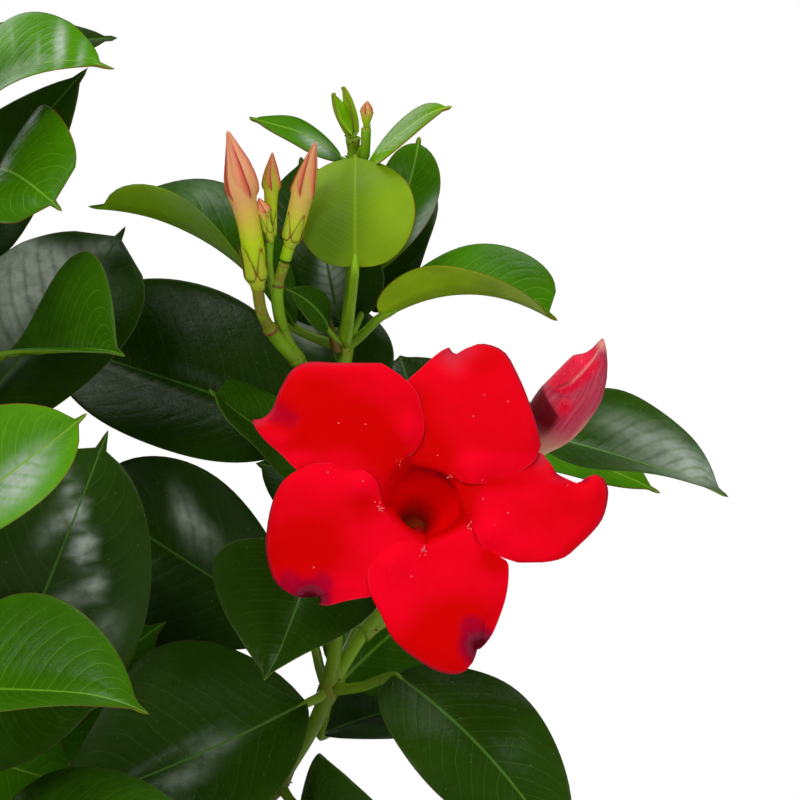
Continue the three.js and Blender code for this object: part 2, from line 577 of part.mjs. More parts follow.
function potSolid() {
  const band = POT_HEIGHT - POT_COLLAR;
  const slope = (POT_RIM - POT_STEP - POT_FOOT) / band;
  const wallAt = (z) => POT_FOOT + slope * z;
  const inner = POT_RIM - POT_WALL - POT_STEP + 1;
  const floor = POT_FOOT + slope * POT_FLOOR - POT_WALL;
  const profile = [
    [0, 0], [POT_FOOT - 1.5, 0], [wallAt(1.5), 1.5], [wallAt(band), band], [POT_RIM - 1, band + 0.5],
    [POT_RIM, POT_HEIGHT - 2], [POT_RIM - 2, POT_HEIGHT], [inner + 1.5, POT_HEIGHT], [inner, POT_HEIGHT - 1.5],
    [floor, POT_FLOOR], [0, POT_FLOOR],
  ];
  const body = new THREE.LatheGeometry(profile.map(([r, z]) => new THREE.Vector2(r, z)), 32);
  body.rotateX(Math.PI / 2);
  let pot = solid(body);
  for (let k = 0; k < 3; k += 1) {
    const drain = new THREE.CylinderGeometry(DRAIN_RADIUS, DRAIN_RADIUS, 4 * POT_FLOOR, 10);
    drain.rotateX(Math.PI / 2);
    const angle = radians(90 + 120 * k);
    drain.translate(DRAIN_RING * Math.cos(angle), DRAIN_RING * Math.sin(angle), 0);
    pot = pot.subtract(solid(drain));
  }
  return { pot, innerAt: (z) => floor + ((inner - floor) * (z - POT_FLOOR)) / (POT_HEIGHT - 1.5 - POT_FLOOR) };
}

function soilSolid(innerAt) {
  const bottom = POT_FLOOR + SEAT;
  const play = 2 * SEAT;
  const profile = [
    [0, bottom], [innerAt(bottom) - play, bottom], [innerAt(SOIL_TOP - 2) - play, SOIL_TOP - 2],
    [innerAt(SOIL_TOP) - 8, SOIL_TOP], [30, SOIL_TOP + SOIL_CROWN * 0.8], [0, SOIL_TOP + SOIL_CROWN],
  ];
  const body = new THREE.LatheGeometry(profile.map(([r, z]) => new THREE.Vector2(r, z)), 28);
  body.rotateX(Math.PI / 2);
  let soil = solid(body);
  for (const shoot of Object.values(SHOOTS)) {
    const hole = new THREE.CylinderGeometry(shoot.radius[0] + 0.6, shoot.radius[0] + 0.6, 40, 8);
    hole.rotateX(Math.PI / 2);
    hole.translate(shoot.foot[0], shoot.foot[1], SOIL_TOP - HOLE_DEPTH + 20);
    soil = soil.subtract(solid(hole));
  }
  return soil;
}

const plant = new THREE.Group();

function add(name, body, colour, roughness) {
  const material = new THREE.MeshStandardMaterial({ color: colour, roughness, metalness: 0 });
  const mesh = new THREE.Mesh(geometryOf(body), material);
  mesh.name = name;
  plant.add(mesh);
}

const { pot, innerAt } = potSolid();
add('pot', pot, '#b5623c', 0.85);
add('soil', soilSolid(innerAt), '#3a2a20', 0.95);
for (const [name, shoot] of Object.entries(SHOOTS)) add(name, shootSolid(shoot), '#2f5a24', 0.35);
FLOWERS.forEach((flower) => add(flower[0], flowerSolid(flower), '#d60d1c', 0.5));
BUDS.forEach((bud) => add(bud[0], budSolid(bud), bud[0] === 'bud_furled' ? '#c22a48' : '#e0915c', 0.5));

export default plant;
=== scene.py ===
"""A potted mandevilla: glossy paired leaves on twining shoots, red five-lobed flowers, furled buds."""
import math
from collections import namedtuple

import bmesh
import bpy
import numpy as np
from mathutils import Matrix, Vector


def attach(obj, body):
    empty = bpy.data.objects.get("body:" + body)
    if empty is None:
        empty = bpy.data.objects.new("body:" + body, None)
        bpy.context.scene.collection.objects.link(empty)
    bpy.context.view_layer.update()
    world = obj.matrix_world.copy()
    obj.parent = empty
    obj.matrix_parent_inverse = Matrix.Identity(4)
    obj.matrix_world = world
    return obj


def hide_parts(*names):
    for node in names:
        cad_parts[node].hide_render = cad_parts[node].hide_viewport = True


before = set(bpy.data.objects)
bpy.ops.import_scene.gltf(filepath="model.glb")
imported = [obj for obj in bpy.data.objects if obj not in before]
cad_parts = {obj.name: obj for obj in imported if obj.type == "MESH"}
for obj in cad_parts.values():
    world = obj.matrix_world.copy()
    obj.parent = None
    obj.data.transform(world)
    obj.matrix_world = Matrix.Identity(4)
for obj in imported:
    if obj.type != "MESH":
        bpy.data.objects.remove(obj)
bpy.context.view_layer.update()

bl_info = {
    "name": "Potted mandevilla",
    "version": (1, 0, 0),
    "blender": (4, 5, 0),
    "location": "3D View > Sidebar > Mandevilla",
    "description": "Builds a flowering mandevilla in a clay pot",
    "category": "Object",
}

MM = 0.001
TAU = 2 * math.pi

# ---- the plan of the plant, in millimetres ----
POT_HEIGHT, POT_RIM, POT_FOOT, POT_COLLAR, POT_STEP = 126, 73, 53, 27, 3.5
POT_WALL, POT_FLOOR, DRAIN_RADIUS, DRAIN_RING, FLOOR_PLATE = 6, 8, 4.5, 30, 36
SOIL_TOP, SOIL_CROWN, SOIL_RADIUS, SEAT, HOLE_DEPTH = 116, 3, 62, 0.3, 14
MOUTH, TUBE, STALK_END = 10.6, 46, 7  # of a flower, and the straight end of its stalk
# how far a grown leaf keeps from the others, how far beside the rim it still counts as over the pot,
# and the least height over the rim, and over the ground beside the pot
CLEAR, RIM_CLEAR, ABOVE_RIM, ABOVE_GROUND = 6.5, 12, 5, 62
TIP_LEAF, TIP_WIDTH = 9, 4.5  # length and width of a young leaf at the end of a shoot
VEINS = 13  # side veins on each half of a leaf
PETAL_HALF = 0.28  # half the thickness of a petal
# cells across and along of each kind of grid
CELLS = {
    "leaf": (20, 18), "near leaf": (28, 34), "lobe": (60, 50), "tube": (70, 56), "sepal": (10, 12),
    "bud": (80, 64), "furled": (110, 120),
}
SEEDS = {"growth": 20231, "shoots": 7, "flowers": 3, "buds": 5, "soil": 11}

N0, N1, NA, NB = [66, -12, 203], [78, -12, 225], [80, -8, 255], [81, -6.5, 267]
NC, ND, N2, N3 = [82, -4, 285], [82, -3.3, 294], [82, -2, 306], [84, 2, 349]
N4 = [83.8, 0.6, 355.5]
B0, B1 = [93, 5, 262], [101, 13, 284]
M0, M1, M3, M4 = [-22, -18, 205], [-24, -20, 225], [-24, -16, 292], [-22, -14, 325]
M5, M6 = [-20, -12, 352], [-21, -11, 370]
F1, F2, F3 = [-27, -62, 195], [-29, -67, 225], [-29, -70, 255]

Leaf = namedtuple("Leaf", "name root base tip width face arch fold full curl twist widest",
                  defaults=(0.72, 0, 0, 0.43))
# name, root on the stem, base of the blade, tip, width, the way its upper face looks, arch, fold in
# degrees; then, where they aren't the usual ones, the fullness of the outline, the curl of the tip,
# the twist in degrees and the widest place along the blade
RIGHT_LEAVES = [
    ("r1", B1, [124, 6, 285.9], [173.6, -4, 272.5], 35.6, [0.15, -0.6, 0.79], -0.5, 32, 0.74, -3.2, 20, 0.47),
    ("r2", B1, [112, 26, 284], [158, 22, 268], 26, [0.1, -0.55, 0.85], 2, 20),
    ("r3", NB, [78.5, -17, 276.5], [49.5, -19, 297], 29.7, [0.2, -0.49, 0.85], -0.2, 18, 0.22, 1.2, -23, 0.46),
    ("r4", B1, [100, 25, 284], [95, 38, 300], 30, [0, -0.9, 0.3], 2, 10),
    ("r5", B0, [88, 17, 267], [60, 25, 275], 30, [0, -0.7, 0.7], 2, 10),
    ("r6", NC, [73, 3, 286], [10.2, 10, 306.3], 51.1, [0.03, -0.86, 0.51], 1.2, 28, 0.37, 0.5, -15, 0.55),
    ("r7", N1, [73.8, 0, 236], [17.5, 6, 271.5], 51.5, [0.19, -0.97, -0.13], 5.1, 26, 0.52, -0.2, 21, 0.66),
    ("r8", NA, [75.5, -30, 261.5], [63.5, -48, 231.6], 48.8, [-0.21, -0.98, 0.03], -3.3, 34, 0.75, 2.9, -17,
     0.33),
    ("r9", N1, [73, -18, 223], [8.5, -50, 200.5], 60, [0.17, -0.8, 0.58], -4.5, 38, 0.81, 0, 35, 0.42),
    ("r10", N1, [93.8, -20, 230], [134.5, -42, 188.5], 32.7, [0.21, -0.85, 0.48], 8, 11, 0.53, 0.5, -34, 0.43),
    ("r11", N0, [71.1, -15, 196.7], [90.1, -38, 187.9], 38.5, [-0.27, -0.96, -0.04], 5.4, 15, 0.22, -5, -13,
     0.49),
    ("r12", N1, [76, -1, 212.5], [119, 34, 215], 36, [-0.02, -0.36, 0.93], 3.4, 12, 0.74, 0, -1, 0.46),
    ("r13", N1, [81, 7, 224.5], [113, 24, 250], 36, [-0.3, -0.9, 0.3], 2, 12, 0.5, 0, 0, 0.45),
    ("t1", N2, [84.5, -24, 326.5], [84.5, -9, 352], 28.5, [0, 0.97, 0.2], -6, 6, 0.45),
    ("t2", N2, [90.2, -8, 313.9], [132.2, -14, 313], 31.1, [0.07, -0.03, 1], 6.8, 41, 0.34, 0.2, -35, 0.59),
    ("t3", N2, [70.1, -1, 310.5], [22.1, -9, 341], 45.9, [0, -0.41, 0.91], 8, 29, 0.59, -1.6, -60, 0.62),
    ("t4", N2, [89.5, 8, 323], [99.9, 13, 355], 15.9, [0.33, -0.9, 0.29], 3.9, 20, 0.53, -1.1, 9, 0.63),
    ("t5", N2, [85.7, 16, 313.9], [103.4, 22, 343.1], 24.4, [-0.27, -0.8, 0.54], 4.5, 16, 0.48, -0.2, 2, 0.38),
    ("t6", N2, [77, 20, 315], [71, 30, 349], 30, [-0.1, -0.9, 0.3], 3, 12),
    ("t7", N2, [81, 5, 310], [76, 9, 336], 27, [-0.2, -0.9, 0.3], 3, 12, 0.6),
    ("t8", N2, [78, -9, 311], [68, -15, 321], 11, [0.3, -0.7, 0.6], 2, 12),
    ("t9", NC, [85, 14, 290], [72, 24, 315.5], 28, [0.1, -0.9, 0.3], 2, 12, 0.5),
    ("t10", N3, [81.1, 3, 350.6], [58.8, -8, 360.1], 12.7, [0.28, -0.52, 0.81], 2.3, 4, 0.72, 1.1, -4, 0.43),
    ("t11", N3, [87, -4, 348.7], [106.3, -14, 364.8], 18.8, [-0.89, -0.05, 0.46], 1.2, 8, 0.68, -1.4, -6, 0.45),
    ("t12", N4, [83.4, -0.4, 356.2], [79.3, -2.5, 366.4], 6, [0.7, -0.5, 0.4], -1, 30, 0.6),
    ("t13", N4, [84, 1, 356.6], [81.2, 1.2, 367.6], 6, [-0.8, -0.2, 0.5], -1, 30, 0.6),
]
CENTRE_LEAVES = [
    ("c1", M5, [-11, -15, 357.2], [26.2, -41, 377.6], 53.6, [-0.01, -0.57, 0.82], 5.7, 14, 0.55, -5, 35, 0.4),
    ("c2", M6, [-13, -4, 374], [28, 4, 379], 14, [-0.3, -0.85, 0.4], 2, 12),
    ("c3", M4, [-13.5, -4, 326.3], [21.2, 2, 372], 30.1, [-0.47, -0.87, 0.13], 3.6, 11, 0.73, 0.4, 3, 0.33),
    ("c4", M5, [0.4, -20, 347], [16.5, -58, 344], 37.1, [-0.37, -0.65, 0.66], 6.7, 21, 0.22, -2.1, -3, 0.45),
    ("c5", M3, [-6.3, -4, 290], [32, -14, 335.5], 46.8, [-0.08, -0.92, 0.38], -0.3, 38, 0.24, 4, -35, 0.49),
    ("c6", M3, [2, -14, 305.8], [30.2, -58, 311.3], 51, [-0.57, -0.4, 0.72], -0.1, 46, 0.85, -3, 10, 0.68),
    ("c7", M1, [-2.4, -34, 216.6], [27.7, -52, 291], 50.3, [0.18, -0.94, 0.28], 2.8, 10, 0.5, -1.7, -12, 0.46),
    ("c8", M1, [-1, -14, 209], [40, -14, 242], 30, [0, -0.8, 0.5], 2, 10),
    ("c9", M0, [-16, -25, 214], [20, -36, 205], 38, [0, -0.9, 0.4], 2, 10),
]
FRONT_LEAVES = [
    ("f1", F3, [-15.9, -70, 264.3], [25.5, -84, 298.4], 35.5, [-0.17, -0.8, 0.57], 2.1, 38, 0.46, 1.8, -35,
     0.57),
    ("f2", F2, [-12.3, -80, 234.4], [38.2, -96, 234.4], 50.7, [0.01, -0.58, 0.81], 2.6, 34, 0.79, -3.2, 12,
     0.46),
    ("f3", F2, [-14, -55, 231], [27, -62, 229], 38, [0, -0.9, 0.4], 2, 10),
    ("f4", F1, [-2.5, -70, 194.8], [47, -84, 209.3], 41.1, [0.01, -0.51, 0.86], 4.2, 6, 0.75, 0.9, -1, 0.37),
]

# foot: place of the stem in the soil; path: where it runs; radius: at the foot and at the tip;
# sides: side stems (points, radii at both ends, the flower or bud carried); whorls: point of
# the path and direction of a leaf pair
Shoot = namedtuple("Shoot", "foot path radius sides leaves whorls")
SHOOTS = {
    "shoot_right": Shoot(
        (18, -4),
        [[22, -5, 138], [36, -9, 160], [52, -12, 184], N0, N1, NA, NB, NC, N2, [84, 1, 330], N3, N4],
        (2.4, 1.2),
        [
            ([N1, [86, 1, 240], B0, [98, 10, 275], B1], 1.7, 1.5, None),
            ([N1, [86, -9, 238], [93, -9, 247]], 1.6, 1.8, "flower_front"),
            ([[86, -9, 238], [97, -4, 244]], 1.5, 1.8, "bud_furled"),
            ([ND, [77, -11, 298], [71, -18, 304], [65.5, -24, 311]], 1.6, 1.7, "bud_large"),
            ([[71, -18, 304], [67.5, -22, 312]], 1.4, 1.6, "bud_long"),
            ([[67.5, -22, 312]], 1, 1.1, "bud_small"),
            ([N3, [86.3, 0, 353]], 1, 1.2, "bud_top"),
        ],
        RIGHT_LEAVES,
        [(0, 250), (1, 100), (2, 15), (3, 85)],
    ),
    "shoot_centre": Shoot(
        (-8, -6),
        [[-10, -8, 140], [-16, -13, 175], M0, M1, [-26, -19, 258], M3, M4, M5, M6, [-21, -10, 378]],
        (2.4, 1.2), [], CENTRE_LEAVES,
        [(1, 60), (2, 150), (4, 100), (5, 190), (6, 120), (7, 200), (8, 100), (9, 170)],
    ),
    "shoot_front": Shoot(
        (-12, -30),
        [[-14, -35, 140], [-22, -52, 170], F1, F2, F3, [-28, -67, 274], [-28, -65, 284]],
        (2.2, 1.2),
        [([F3, [-33, -75, 259]], 1.5, 1.8, "flower_low_left")],
        FRONT_LEAVES,
        [(1, 200), (2, 170), (3, 230), (4, 190), (5, 150), (6, 230)],
    ),
    "shoot_left": Shoot(
        (-28, 4),
        [[-36, 4, 142], [-58, 2, 180], [-80, -4, 225], [-95, -8, 268], [-102, -8, 302], [-104, -8, 316]],
        (2.3, 1.2),
        [
            ([[-95, -8, 268], [-98, -13, 269]], 1.5, 1.8, "flower_left"),
            ([[-102, -8, 302], [-101, -13, 306]], 1.3, 1.6, "bud_left_1"),
            ([[-102, -8, 302], [-107, -9, 306]], 1.3, 1.6, "bud_left_2"),
        ],
        [], [(0, 190), (1, 100), (2, 190), (3, 95), (4, 195), (5, 110)],
    ),
    "shoot_left_back": Shoot(
        (-22, 26),
        [[-28, 34, 142], [-46, 52, 180], [-56, 66, 225], [-60, 74, 268], [-60, 78, 298], [-60, 79, 312]],
        (2.3, 1.2),
        [([[-60, 78, 298], [-63, 82, 303]], 1.3, 1.6, "bud_back")], [],
        [(0, 60), (1, 150), (2, 60), (3, 150), (4, 50), (5, 150)],
    ),
    "shoot_back": Shoot(
        (6, 26), [[8, 35, 140], [12, 54, 172], [12, 68, 200], [14, 76, 226]], (2.2, 1.3),
        [([[12, 68, 200], [4, 73, 203]], 1.5, 1.8, "flower_back")], [],
        [(0, 100), (1, 10), (2, 100), (3, 170)],
    ),
    "shoot_low_front": Shoot(
        (14, -30), [[18, -37, 138], [32, -54, 154], [48, -68, 166], [56, -74, 170]], (2, 1.4),
        [([[48, -68, 166], [53, -62, 166]], 1.4, 1.8, "flower_low_right")], [],
        [(0, 240), (1, 330), (2, 250), (3, 300)],
    ),
    "shoot_low_right": Shoot(
        (36, 8), [[41, 9, 138], [64, 14, 154], [92, 20, 166], [106, 22, 171]], (2, 1.4), [], [],
        [(0, 350), (1, 270), (2, 70), (3, 350)],
    ),
    "shoot_low_back": Shoot(
        (24, 34), [[27, 41, 138], [42, 58, 150], [58, 74, 156]], (2, 1.4), [], [],
        [(0, 130), (1, 20), (2, 100), (2, 20)],
    ),
    "shoot_low_left": Shoot(
        (-38, -18), [[-45, -21, 140], [-70, -32, 158], [-96, -42, 178], [-108, -46, 188]], (2, 1.4), [], [],
        [(0, 190), (2, 110), (3, 190)],
    ),
}

# direction in degrees, reach, half width, place of the pointed corner across the lobe
LOBES = [(140, 45.5, 17.5, 11), (58, 41, 18.5, 14), (-5, 43.5, 14, 9), (-83, 41.3, 16.5, 8),
         (-162, 40, 17.5, 14)]
# name, middle of the mouth, the way it looks, roll in degrees, scale
FLOWERS = [
    ("flower_front", [100.7, -58, 275.3], [0.1, -0.955, 0.28], 0, 1),
    ("flower_left", [-123, -58, 268], [-0.5, -0.84, 0.12], 40, 0.96),
    ("flower_low_left", [-72, -112, 226], [-0.6, -0.62, -0.55], 75, 0.95),
    ("flower_low_right", [96, -86, 138], [0.62, -0.6, -0.35], 20, 0.92),
    ("flower_back", [-24, 117, 230], [-0.42, 0.82, 0.4], 55, 0.96),
]
# name, bottom, tip, girth
BUDS = [
    ("bud_furled", [111.3, -11.5, 256.6], [142.5, -25, 310.2], 1),
    ("bud_large", [60.4, -29, 323.7], [54.9, -32, 359.4], 1),
    ("bud_long", [67.8, -26, 328.2], [75.3, -29, 356.5], 0.78),
    ("bud_small", [64.6, -27.5, 334.3], [65.3, -29, 354.1], 0.55),
    ("bud_top", [87, -3.9, 358.2], [87.3, -5, 364.6], 0.42),
    ("bud_left_1", [-98.9, -18.4, 317], [-95, -26, 347], 0.85),
    ("bud_left_2", [-111.2, -11.1, 317], [-118, -14, 342], 0.75),
    ("bud_back", [-67.3, 87.4, 313], [-73, 94, 340], 0.85),
]


# ---- forms ----
def turned(degrees):
    """Cosine and sine of an angle in degrees."""
    return math.cos(math.radians(degrees)), math.sin(math.radians(degrees))


def unit(v):
    v = np.asarray(v, float)
    return v / np.linalg.norm(v, axis=-1, keepdims=True)


def smooth(low, high, x):
    """0 below low, 1 above high, and a soft step between."""
    k = np.clip((x - low) / (high - low), 0, 1)
    return k * k * (3 - 2 * k)


def bell(x, wide):
    """1 where x is 0, falling away on both sides."""
    return np.exp(-((x / wide) ** 2))


def read(table, t, column=1):
    """A column of a table whose first column rises, read at t."""
    return np.interp(t, [row[0] for row in table], [row[column] for row in table])


def curve(points, t):
    """Points of a smooth curve through the given ones, at t from 0 to 1."""
    pts = np.array(points, float)
    last = len(pts) - 1
    pts = np.vstack([2 * pts[0] - pts[1], pts, 2 * pts[-1] - pts[-2]])
    place = last * np.clip(np.atleast_1d(np.asarray(t, float)), 0, 1)
    i = np.minimum(place.astype(int), last - 1)
    w = (place - i)[:, None]
    p0, p1, p2, p3 = (pts[i + k] for k in range(4))
    d0, d1, d2 = (((b - a) ** 2).sum(1)[:, None] ** 0.25 for a, b in ((p0, p1), (p1, p2), (p2, p3)))
    t1 = ((p1 - p0) / d0 - (p2 - p0) / (d0 + d1) + (p2 - p1) / d1) * d1
    t2 = ((p2 - p1) / d1 - (p3 - p1) / (d1 + d2) + (p3 - p2) / d2) * d1
    return p1 + t1 * w + (-3 * p1 + 3 * p2 - 2 * t1 - t2) * w**2 + (2 * p1 - 2 * p2 + t1 + t2) * w**3


def outline(t, full, widest):
    s = np.minimum(1, t / 0.94)
    body = np.maximum(0, np.sin(math.pi * s ** (math.log(0.5) / math.log(widest)))) ** full
    point = 0.15 * np.minimum(1, (1 - t) / 0.15)
    return np.where(t < 0.5, body, (body**4 + point**4) ** 0.25)


def blade(leaf, u, t):
    """The leaf's middle surface, u from -1 to 1 across and t from 0 to 1 along: the points, the
    way across, the way up, and the half width there."""
    u, t = np.asarray(u, float), np.asarray(t, float)
    line = np.subtract(leaf.tip, leaf.base)
    length = np.linalg.norm(line)
    a = line / length
    n0 = unit(leaf.face - np.dot(leaf.face, a) * a)
    k = np.maximum(0, (t - 0.7) / 0.3)
    rise = leaf.arch * 4 * t * (1 - t) + leaf.curl * k * k
    climb = leaf.arch * 4 * (1 - 2 * t) + leaf.curl * 2 * k / 0.3
    mid = leaf.base + a * (length * t)[:, None] + n0 * rise[:, None]
    run = unit(a * length + n0 * climb[:, None])
    n = unit(n0 - (run @ n0)[:, None] * run)
    s = np.cross(run, n)
    turn = (math.radians(leaf.twist) * (t - 0.3))[:, None]
    across, up = s * np.cos(turn) + n * np.sin(turn), n * np.cos(turn) - s * np.sin(turn)
    w = np.maximum(0.7, leaf.width / 2 * outline(t, leaf.full, leaf.widest))
    fold = math.radians(leaf.fold)
    mid = mid + across * (u * w * math.cos(fold))[:, None]
    return mid + up * (np.abs(u) * w * math.sin(fold) - 0.12 * w * u * u)[:, None], across, up, w


def frame_of(axis, roll):
    """Columns x, y and z of a flower's own frame: z is the way it looks."""
    z = unit(axis)
    y = unit([0, 0, 1] - z[2] * z)
    x = np.cross(y, z)
    c, s = turned(roll)
    return np.stack([x * c + y * s, y * c - x * s, z], 1)


def lobe_plan(lobe, u, v):
    """The plain form of a lobe, as the collision solid has it."""
    turn, reach, wide, hook = lobe
    opening = np.sin(np.minimum(1, v / 0.5) * math.pi / 2)
    closing = np.maximum(0, (v - 0.5) / 0.5)
    across = u * (8.5 + (wide - 8.5) * opening) * (1 - 0.08 * closing**2)
    off = u - hook / wide
    end = reach * (1 - 0.26 * np.abs(u - 0.1) ** 2.6) + 2.2 * bell(off, 0.12)
    wrap = (1 - v) ** 2 * across**2 / (2 * MOUTH)
    out = MOUTH + (end - MOUTH) * v - wrap
    x = np.maximum(0, (end - MOUTH) * v) / (reach - MOUTH)
    rise = 4.5 * x - 5.5 * x * x - 0.14 * across * x**0.8 - 3 * v**6 * bell(off, 0.25)
    c, s = turned(turn)
    return np.stack([out * c - across * s, out * s + across * c, rise], -1)


# ---- growth: the same leaves as the collision solids have ----
def flower_samples(flower):
    _, mouth, axis, roll, scale = flower
    u, v = (g.ravel() for g in np.meshgrid([-1, -0.4, 0.3, 1], [0, 0.35, 0.7, 1]))
    points = [lobe_plan(lobe, u, v) for lobe in LOBES]
    points.append([[0, 0, -TUBE * k / 8] for k in range(1, 8)])
    return np.vstack(points) * scale @ frame_of(axis, roll).T + mouth


def seat_of(name):
    """Where a flower or a bud stands on its stalk, and the way it points there."""
    for flower, mouth, axis, _, scale in FLOWERS:
        if flower == name:
            return mouth - unit(axis) * TUBE * scale, unit(axis)
    bottom, tip = next(bud[1:3] for bud in BUDS if bud[0] == name)
    return np.array(bottom, float), unit(np.subtract(tip, bottom))


def side_path(side):
    points, carried = side[0], side[3]
    if carried is None:
        return points
    seat, way = seat_of(carried)
    return [*points, list(seat - way * STALK_END), list(seat - way * SEAT)]


def stem_path(shoot):
    x, y = shoot.foot
    return [[x, y, SOIL_TOP - HOLE_DEPTH + SEAT], [x, y, SOIL_TOP + 6], *shoot.path]


def stem_samples(points):
    count = len(points) * 4
    return curve(points, np.arange(count + 1) / count)


def leaf_samples(leaf):
    u, t = np.meshgrid(np.arange(-2, 3) / 2, 0.05 + 0.15 * np.arange(7))
    return blade(leaf, u.ravel(), t.ravel())[0]


def keeps_out(p):
    """Where a grown leaf may be: outside the open air around the tall sprays."""
    height = p[:, 2] + 0.105 * p[:, 1]
    behind = (p[:, 1] > 12) & (((p[:, 0] < 60) & (height < 254)) | ((p[:, 0] < 10) & (height < 330)))
    return (p[:, 0] < -4) | (height < 194) | behind


def clear_of_pot(p):
    reach = np.hypot(p[:, 0], p[:, 1])
    return p[:, 2] > np.where(reach < POT_RIM + RIM_CLEAR, POT_HEIGHT + ABOVE_RIM, ABOVE_GROUND)


class Draws:
    """A fixed run of numbers between 0 and 1."""

    def __init__(self, start):
        self.state = start

    def __call__(self):
        self.state = self.state * 16807 % 2147483647
        return self.state / 2147483647


def grown_leaf(name, node, azimuth, draw, taken):
    """A leaf drawn around a direction, if one finds free air in twenty tries."""
    node = np.array(node, float)
    outward = unit([node[0] + 5, node[1], 0])
    for attempt in range(20):
        turn = math.radians(azimuth + (draw() - 0.5) * (24 + 8 * attempt))
        heading = np.array([math.cos(turn), math.sin(turn), 0])
        lift = math.radians(44 * (draw() - 0.5) - 32 * float(heading @ outward))
        length = (54 + 14 * draw()) * (1 - 0.02 * attempt)
        stalk = 7 + 4 * draw()
        width = length * (0.6 + 0.1 * draw())
        way = heading * math.cos(lift) + [0, 0, math.sin(lift)]
        base = node + way * stalk
        face = outward * (0.45 + 0.6 * draw()) + [0, 0, 0.7]
        arch, fold, full = 2 + 5 * draw(), 8 + 14 * draw(), 0.6 + 0.12 * draw()
        curl, twist = -3 * draw(), 24 * (draw() - 0.5)
        leaf = Leaf(name, node, base, base + way * length, width, face, arch, fold, full, curl, twist)
        samples = leaf_samples(leaf)
        if not (keeps_out(samples) & clear_of_pot(samples)).all():
            continue
        if (((samples[:, None] - taken[None]) ** 2).sum(2) > CLEAR**2).all():
            return leaf, samples
    return None


def grow():
    """Every shoot's leaves: the placed ones and those that fill the plant."""
    placed = {name: [Leaf(*row) for row in shoot.leaves] for name, shoot in SHOOTS.items()}
    taken = [leaf_samples(leaf) for leaves in placed.values() for leaf in leaves]
    taken += [flower_samples(flower) for flower in FLOWERS]
    for _, bottom, tip, _ in BUDS:
        taken.append([bottom + np.subtract(tip, bottom) * t for t in (0, 0.2, 0.4, 0.6, 0.8, 1)])
    taken = np.vstack(taken)
    stems = [stem_samples(path) for s in SHOOTS.values() for path in (stem_path(s), *map(side_path, s.sides))]
    stems = np.vstack(stems)
    draw = Draws(SEEDS["growth"])
    for name, shoot in SHOOTS.items():
        for k, (index, azimuth) in enumerate(shoot.whorls):
            node = shoot.path[index]
            hidden = stems[np.linalg.norm(stems - node, axis=1) > 10]
            for half in (0, 180):
                near = np.vstack([taken, hidden])
                found = grown_leaf(f"{name}_{k}_{half}", node, azimuth + half, draw, near)
                if found:
                    placed[name].append(found[0])
                    taken = np.vstack([taken, found[1]])
    return placed


# ---- mesh tools ----
class Skin:
    """One piece's mesh, made of grids that are laid by a formula and closed up."""

    def __init__(self, *layers):
        self.bm = bmesh.new()
        self.uv = self.bm.loops.layers.uv.new("UVMap")
        self.layers = {name: self.bm.verts.layers.float.new(name) for name in layers}

    def patch(self, across, along, place, look=0, spread=None, **paint):
        """A grid of across by along cells. place(x, y) gives its points in millimetres for x and
        y from 0 to 1; spread gives its UV; look is a material's number, or picks one from x and y."""
        grid = bmesh.ops.create_grid(self.bm, x_segments=across, y_segments=along, size=1.0)["verts"]
        flat = np.array([v.co for v in grid])
        x, y = np.round(flat[:, 0] / 2 + 0.5, 6), np.round(flat[:, 1] / 2 + 0.5, 6)
        points = place(x, y) * MM
        uvs = np.stack(spread(x, y) if spread else (x, y), -1)
        order = {v: i for i, v in enumerate(grid)}
        values = {
            key: np.broadcast_to(value(x, y) if callable(value) else value, x.shape)
            for key, value in paint.items()
        }
        for i, v in enumerate(grid):
            v.co = points[i]
            for key, value in values.items():
                v[self.layers[key]] = value[i]
        for face in {f for v in grid for f in v.link_faces}:
            corners = [order[loop.vert] for loop in face.loops]
            for loop, i in zip(face.loops, corners):
                loop[self.uv].uv = uvs[i]
            face.smooth = True
            middle = x[corners].mean(), y[corners].mean()
            face.material_index = look(*middle) if callable(look) else look
        bmesh.ops.remove_doubles(self.bm, verts=grid, dist=1e-7)

    def rod(self, line, radii, sides=10, look=0, **paint):
        """A round rod along the points of a line, closed at both ends."""
        line = np.vstack([line[:1], line, line[-1:]])
        radii = np.concatenate([[0], radii, [0]])
        way = unit(np.gradient(line[1:-1], axis=0))
        way = np.vstack([way[:1], way, way[-1:]])
        side = unit(np.cross(way[0], [0.3, 1, 0.1]))
        sides_along = []
        for w in way:
            side = unit(side - w * (side @ w))
            sides_along.append(side)
        side = np.array(sides_along)
        up = np.cross(way, side)
        last = len(line) - 1

        def place(x, y):
            row = np.rint(y * last).astype(int)
            angle = (TAU * x)[:, None]
            return line[row] + radii[row][:, None] * (side[row] * np.cos(angle) + up[row] * np.sin(angle))

        self.patch(sides, last, place, look, **paint)

    def done(self, name, slot, finishes, replaced=None):
        add_piece(mesh_of(self.bm, name), slot, finishes, replaced)


def mesh_of(bm, name):
    mesh = bpy.data.meshes.new(name)
    bm.to_mesh(mesh)
    bm.free()
    return mesh


def add_object(mesh):
    made = bpy.data.objects.new(mesh.name, mesh)
    bpy.context.scene.collection.objects.link(made)
    return made


def add_piece(mesh, slot, finishes, replaced=None):
    """One piece of the plant; the first piece of a node takes the place of its plain solid."""
    piece = add_object(mesh)
    for finish in finishes:
        mesh.materials.append(finish)
    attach(piece, "root")
    if replaced:
        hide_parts(replaced)


def both_faces(x):
    """Across a closed sheet: u from -1 to 1 on top and back below, and how far from the rim."""
    return -np.cos(TAU * x), np.sin(TAU * x)


def upper_or_under(x, y):
    return 0 if x < 0.5 else 1


def sheet_uv(rows):
    """The UV of a closed sheet: across it, and along it by its rows."""
    return lambda x, y: ((both_faces(x)[0] + 1) / 2, rows(y))


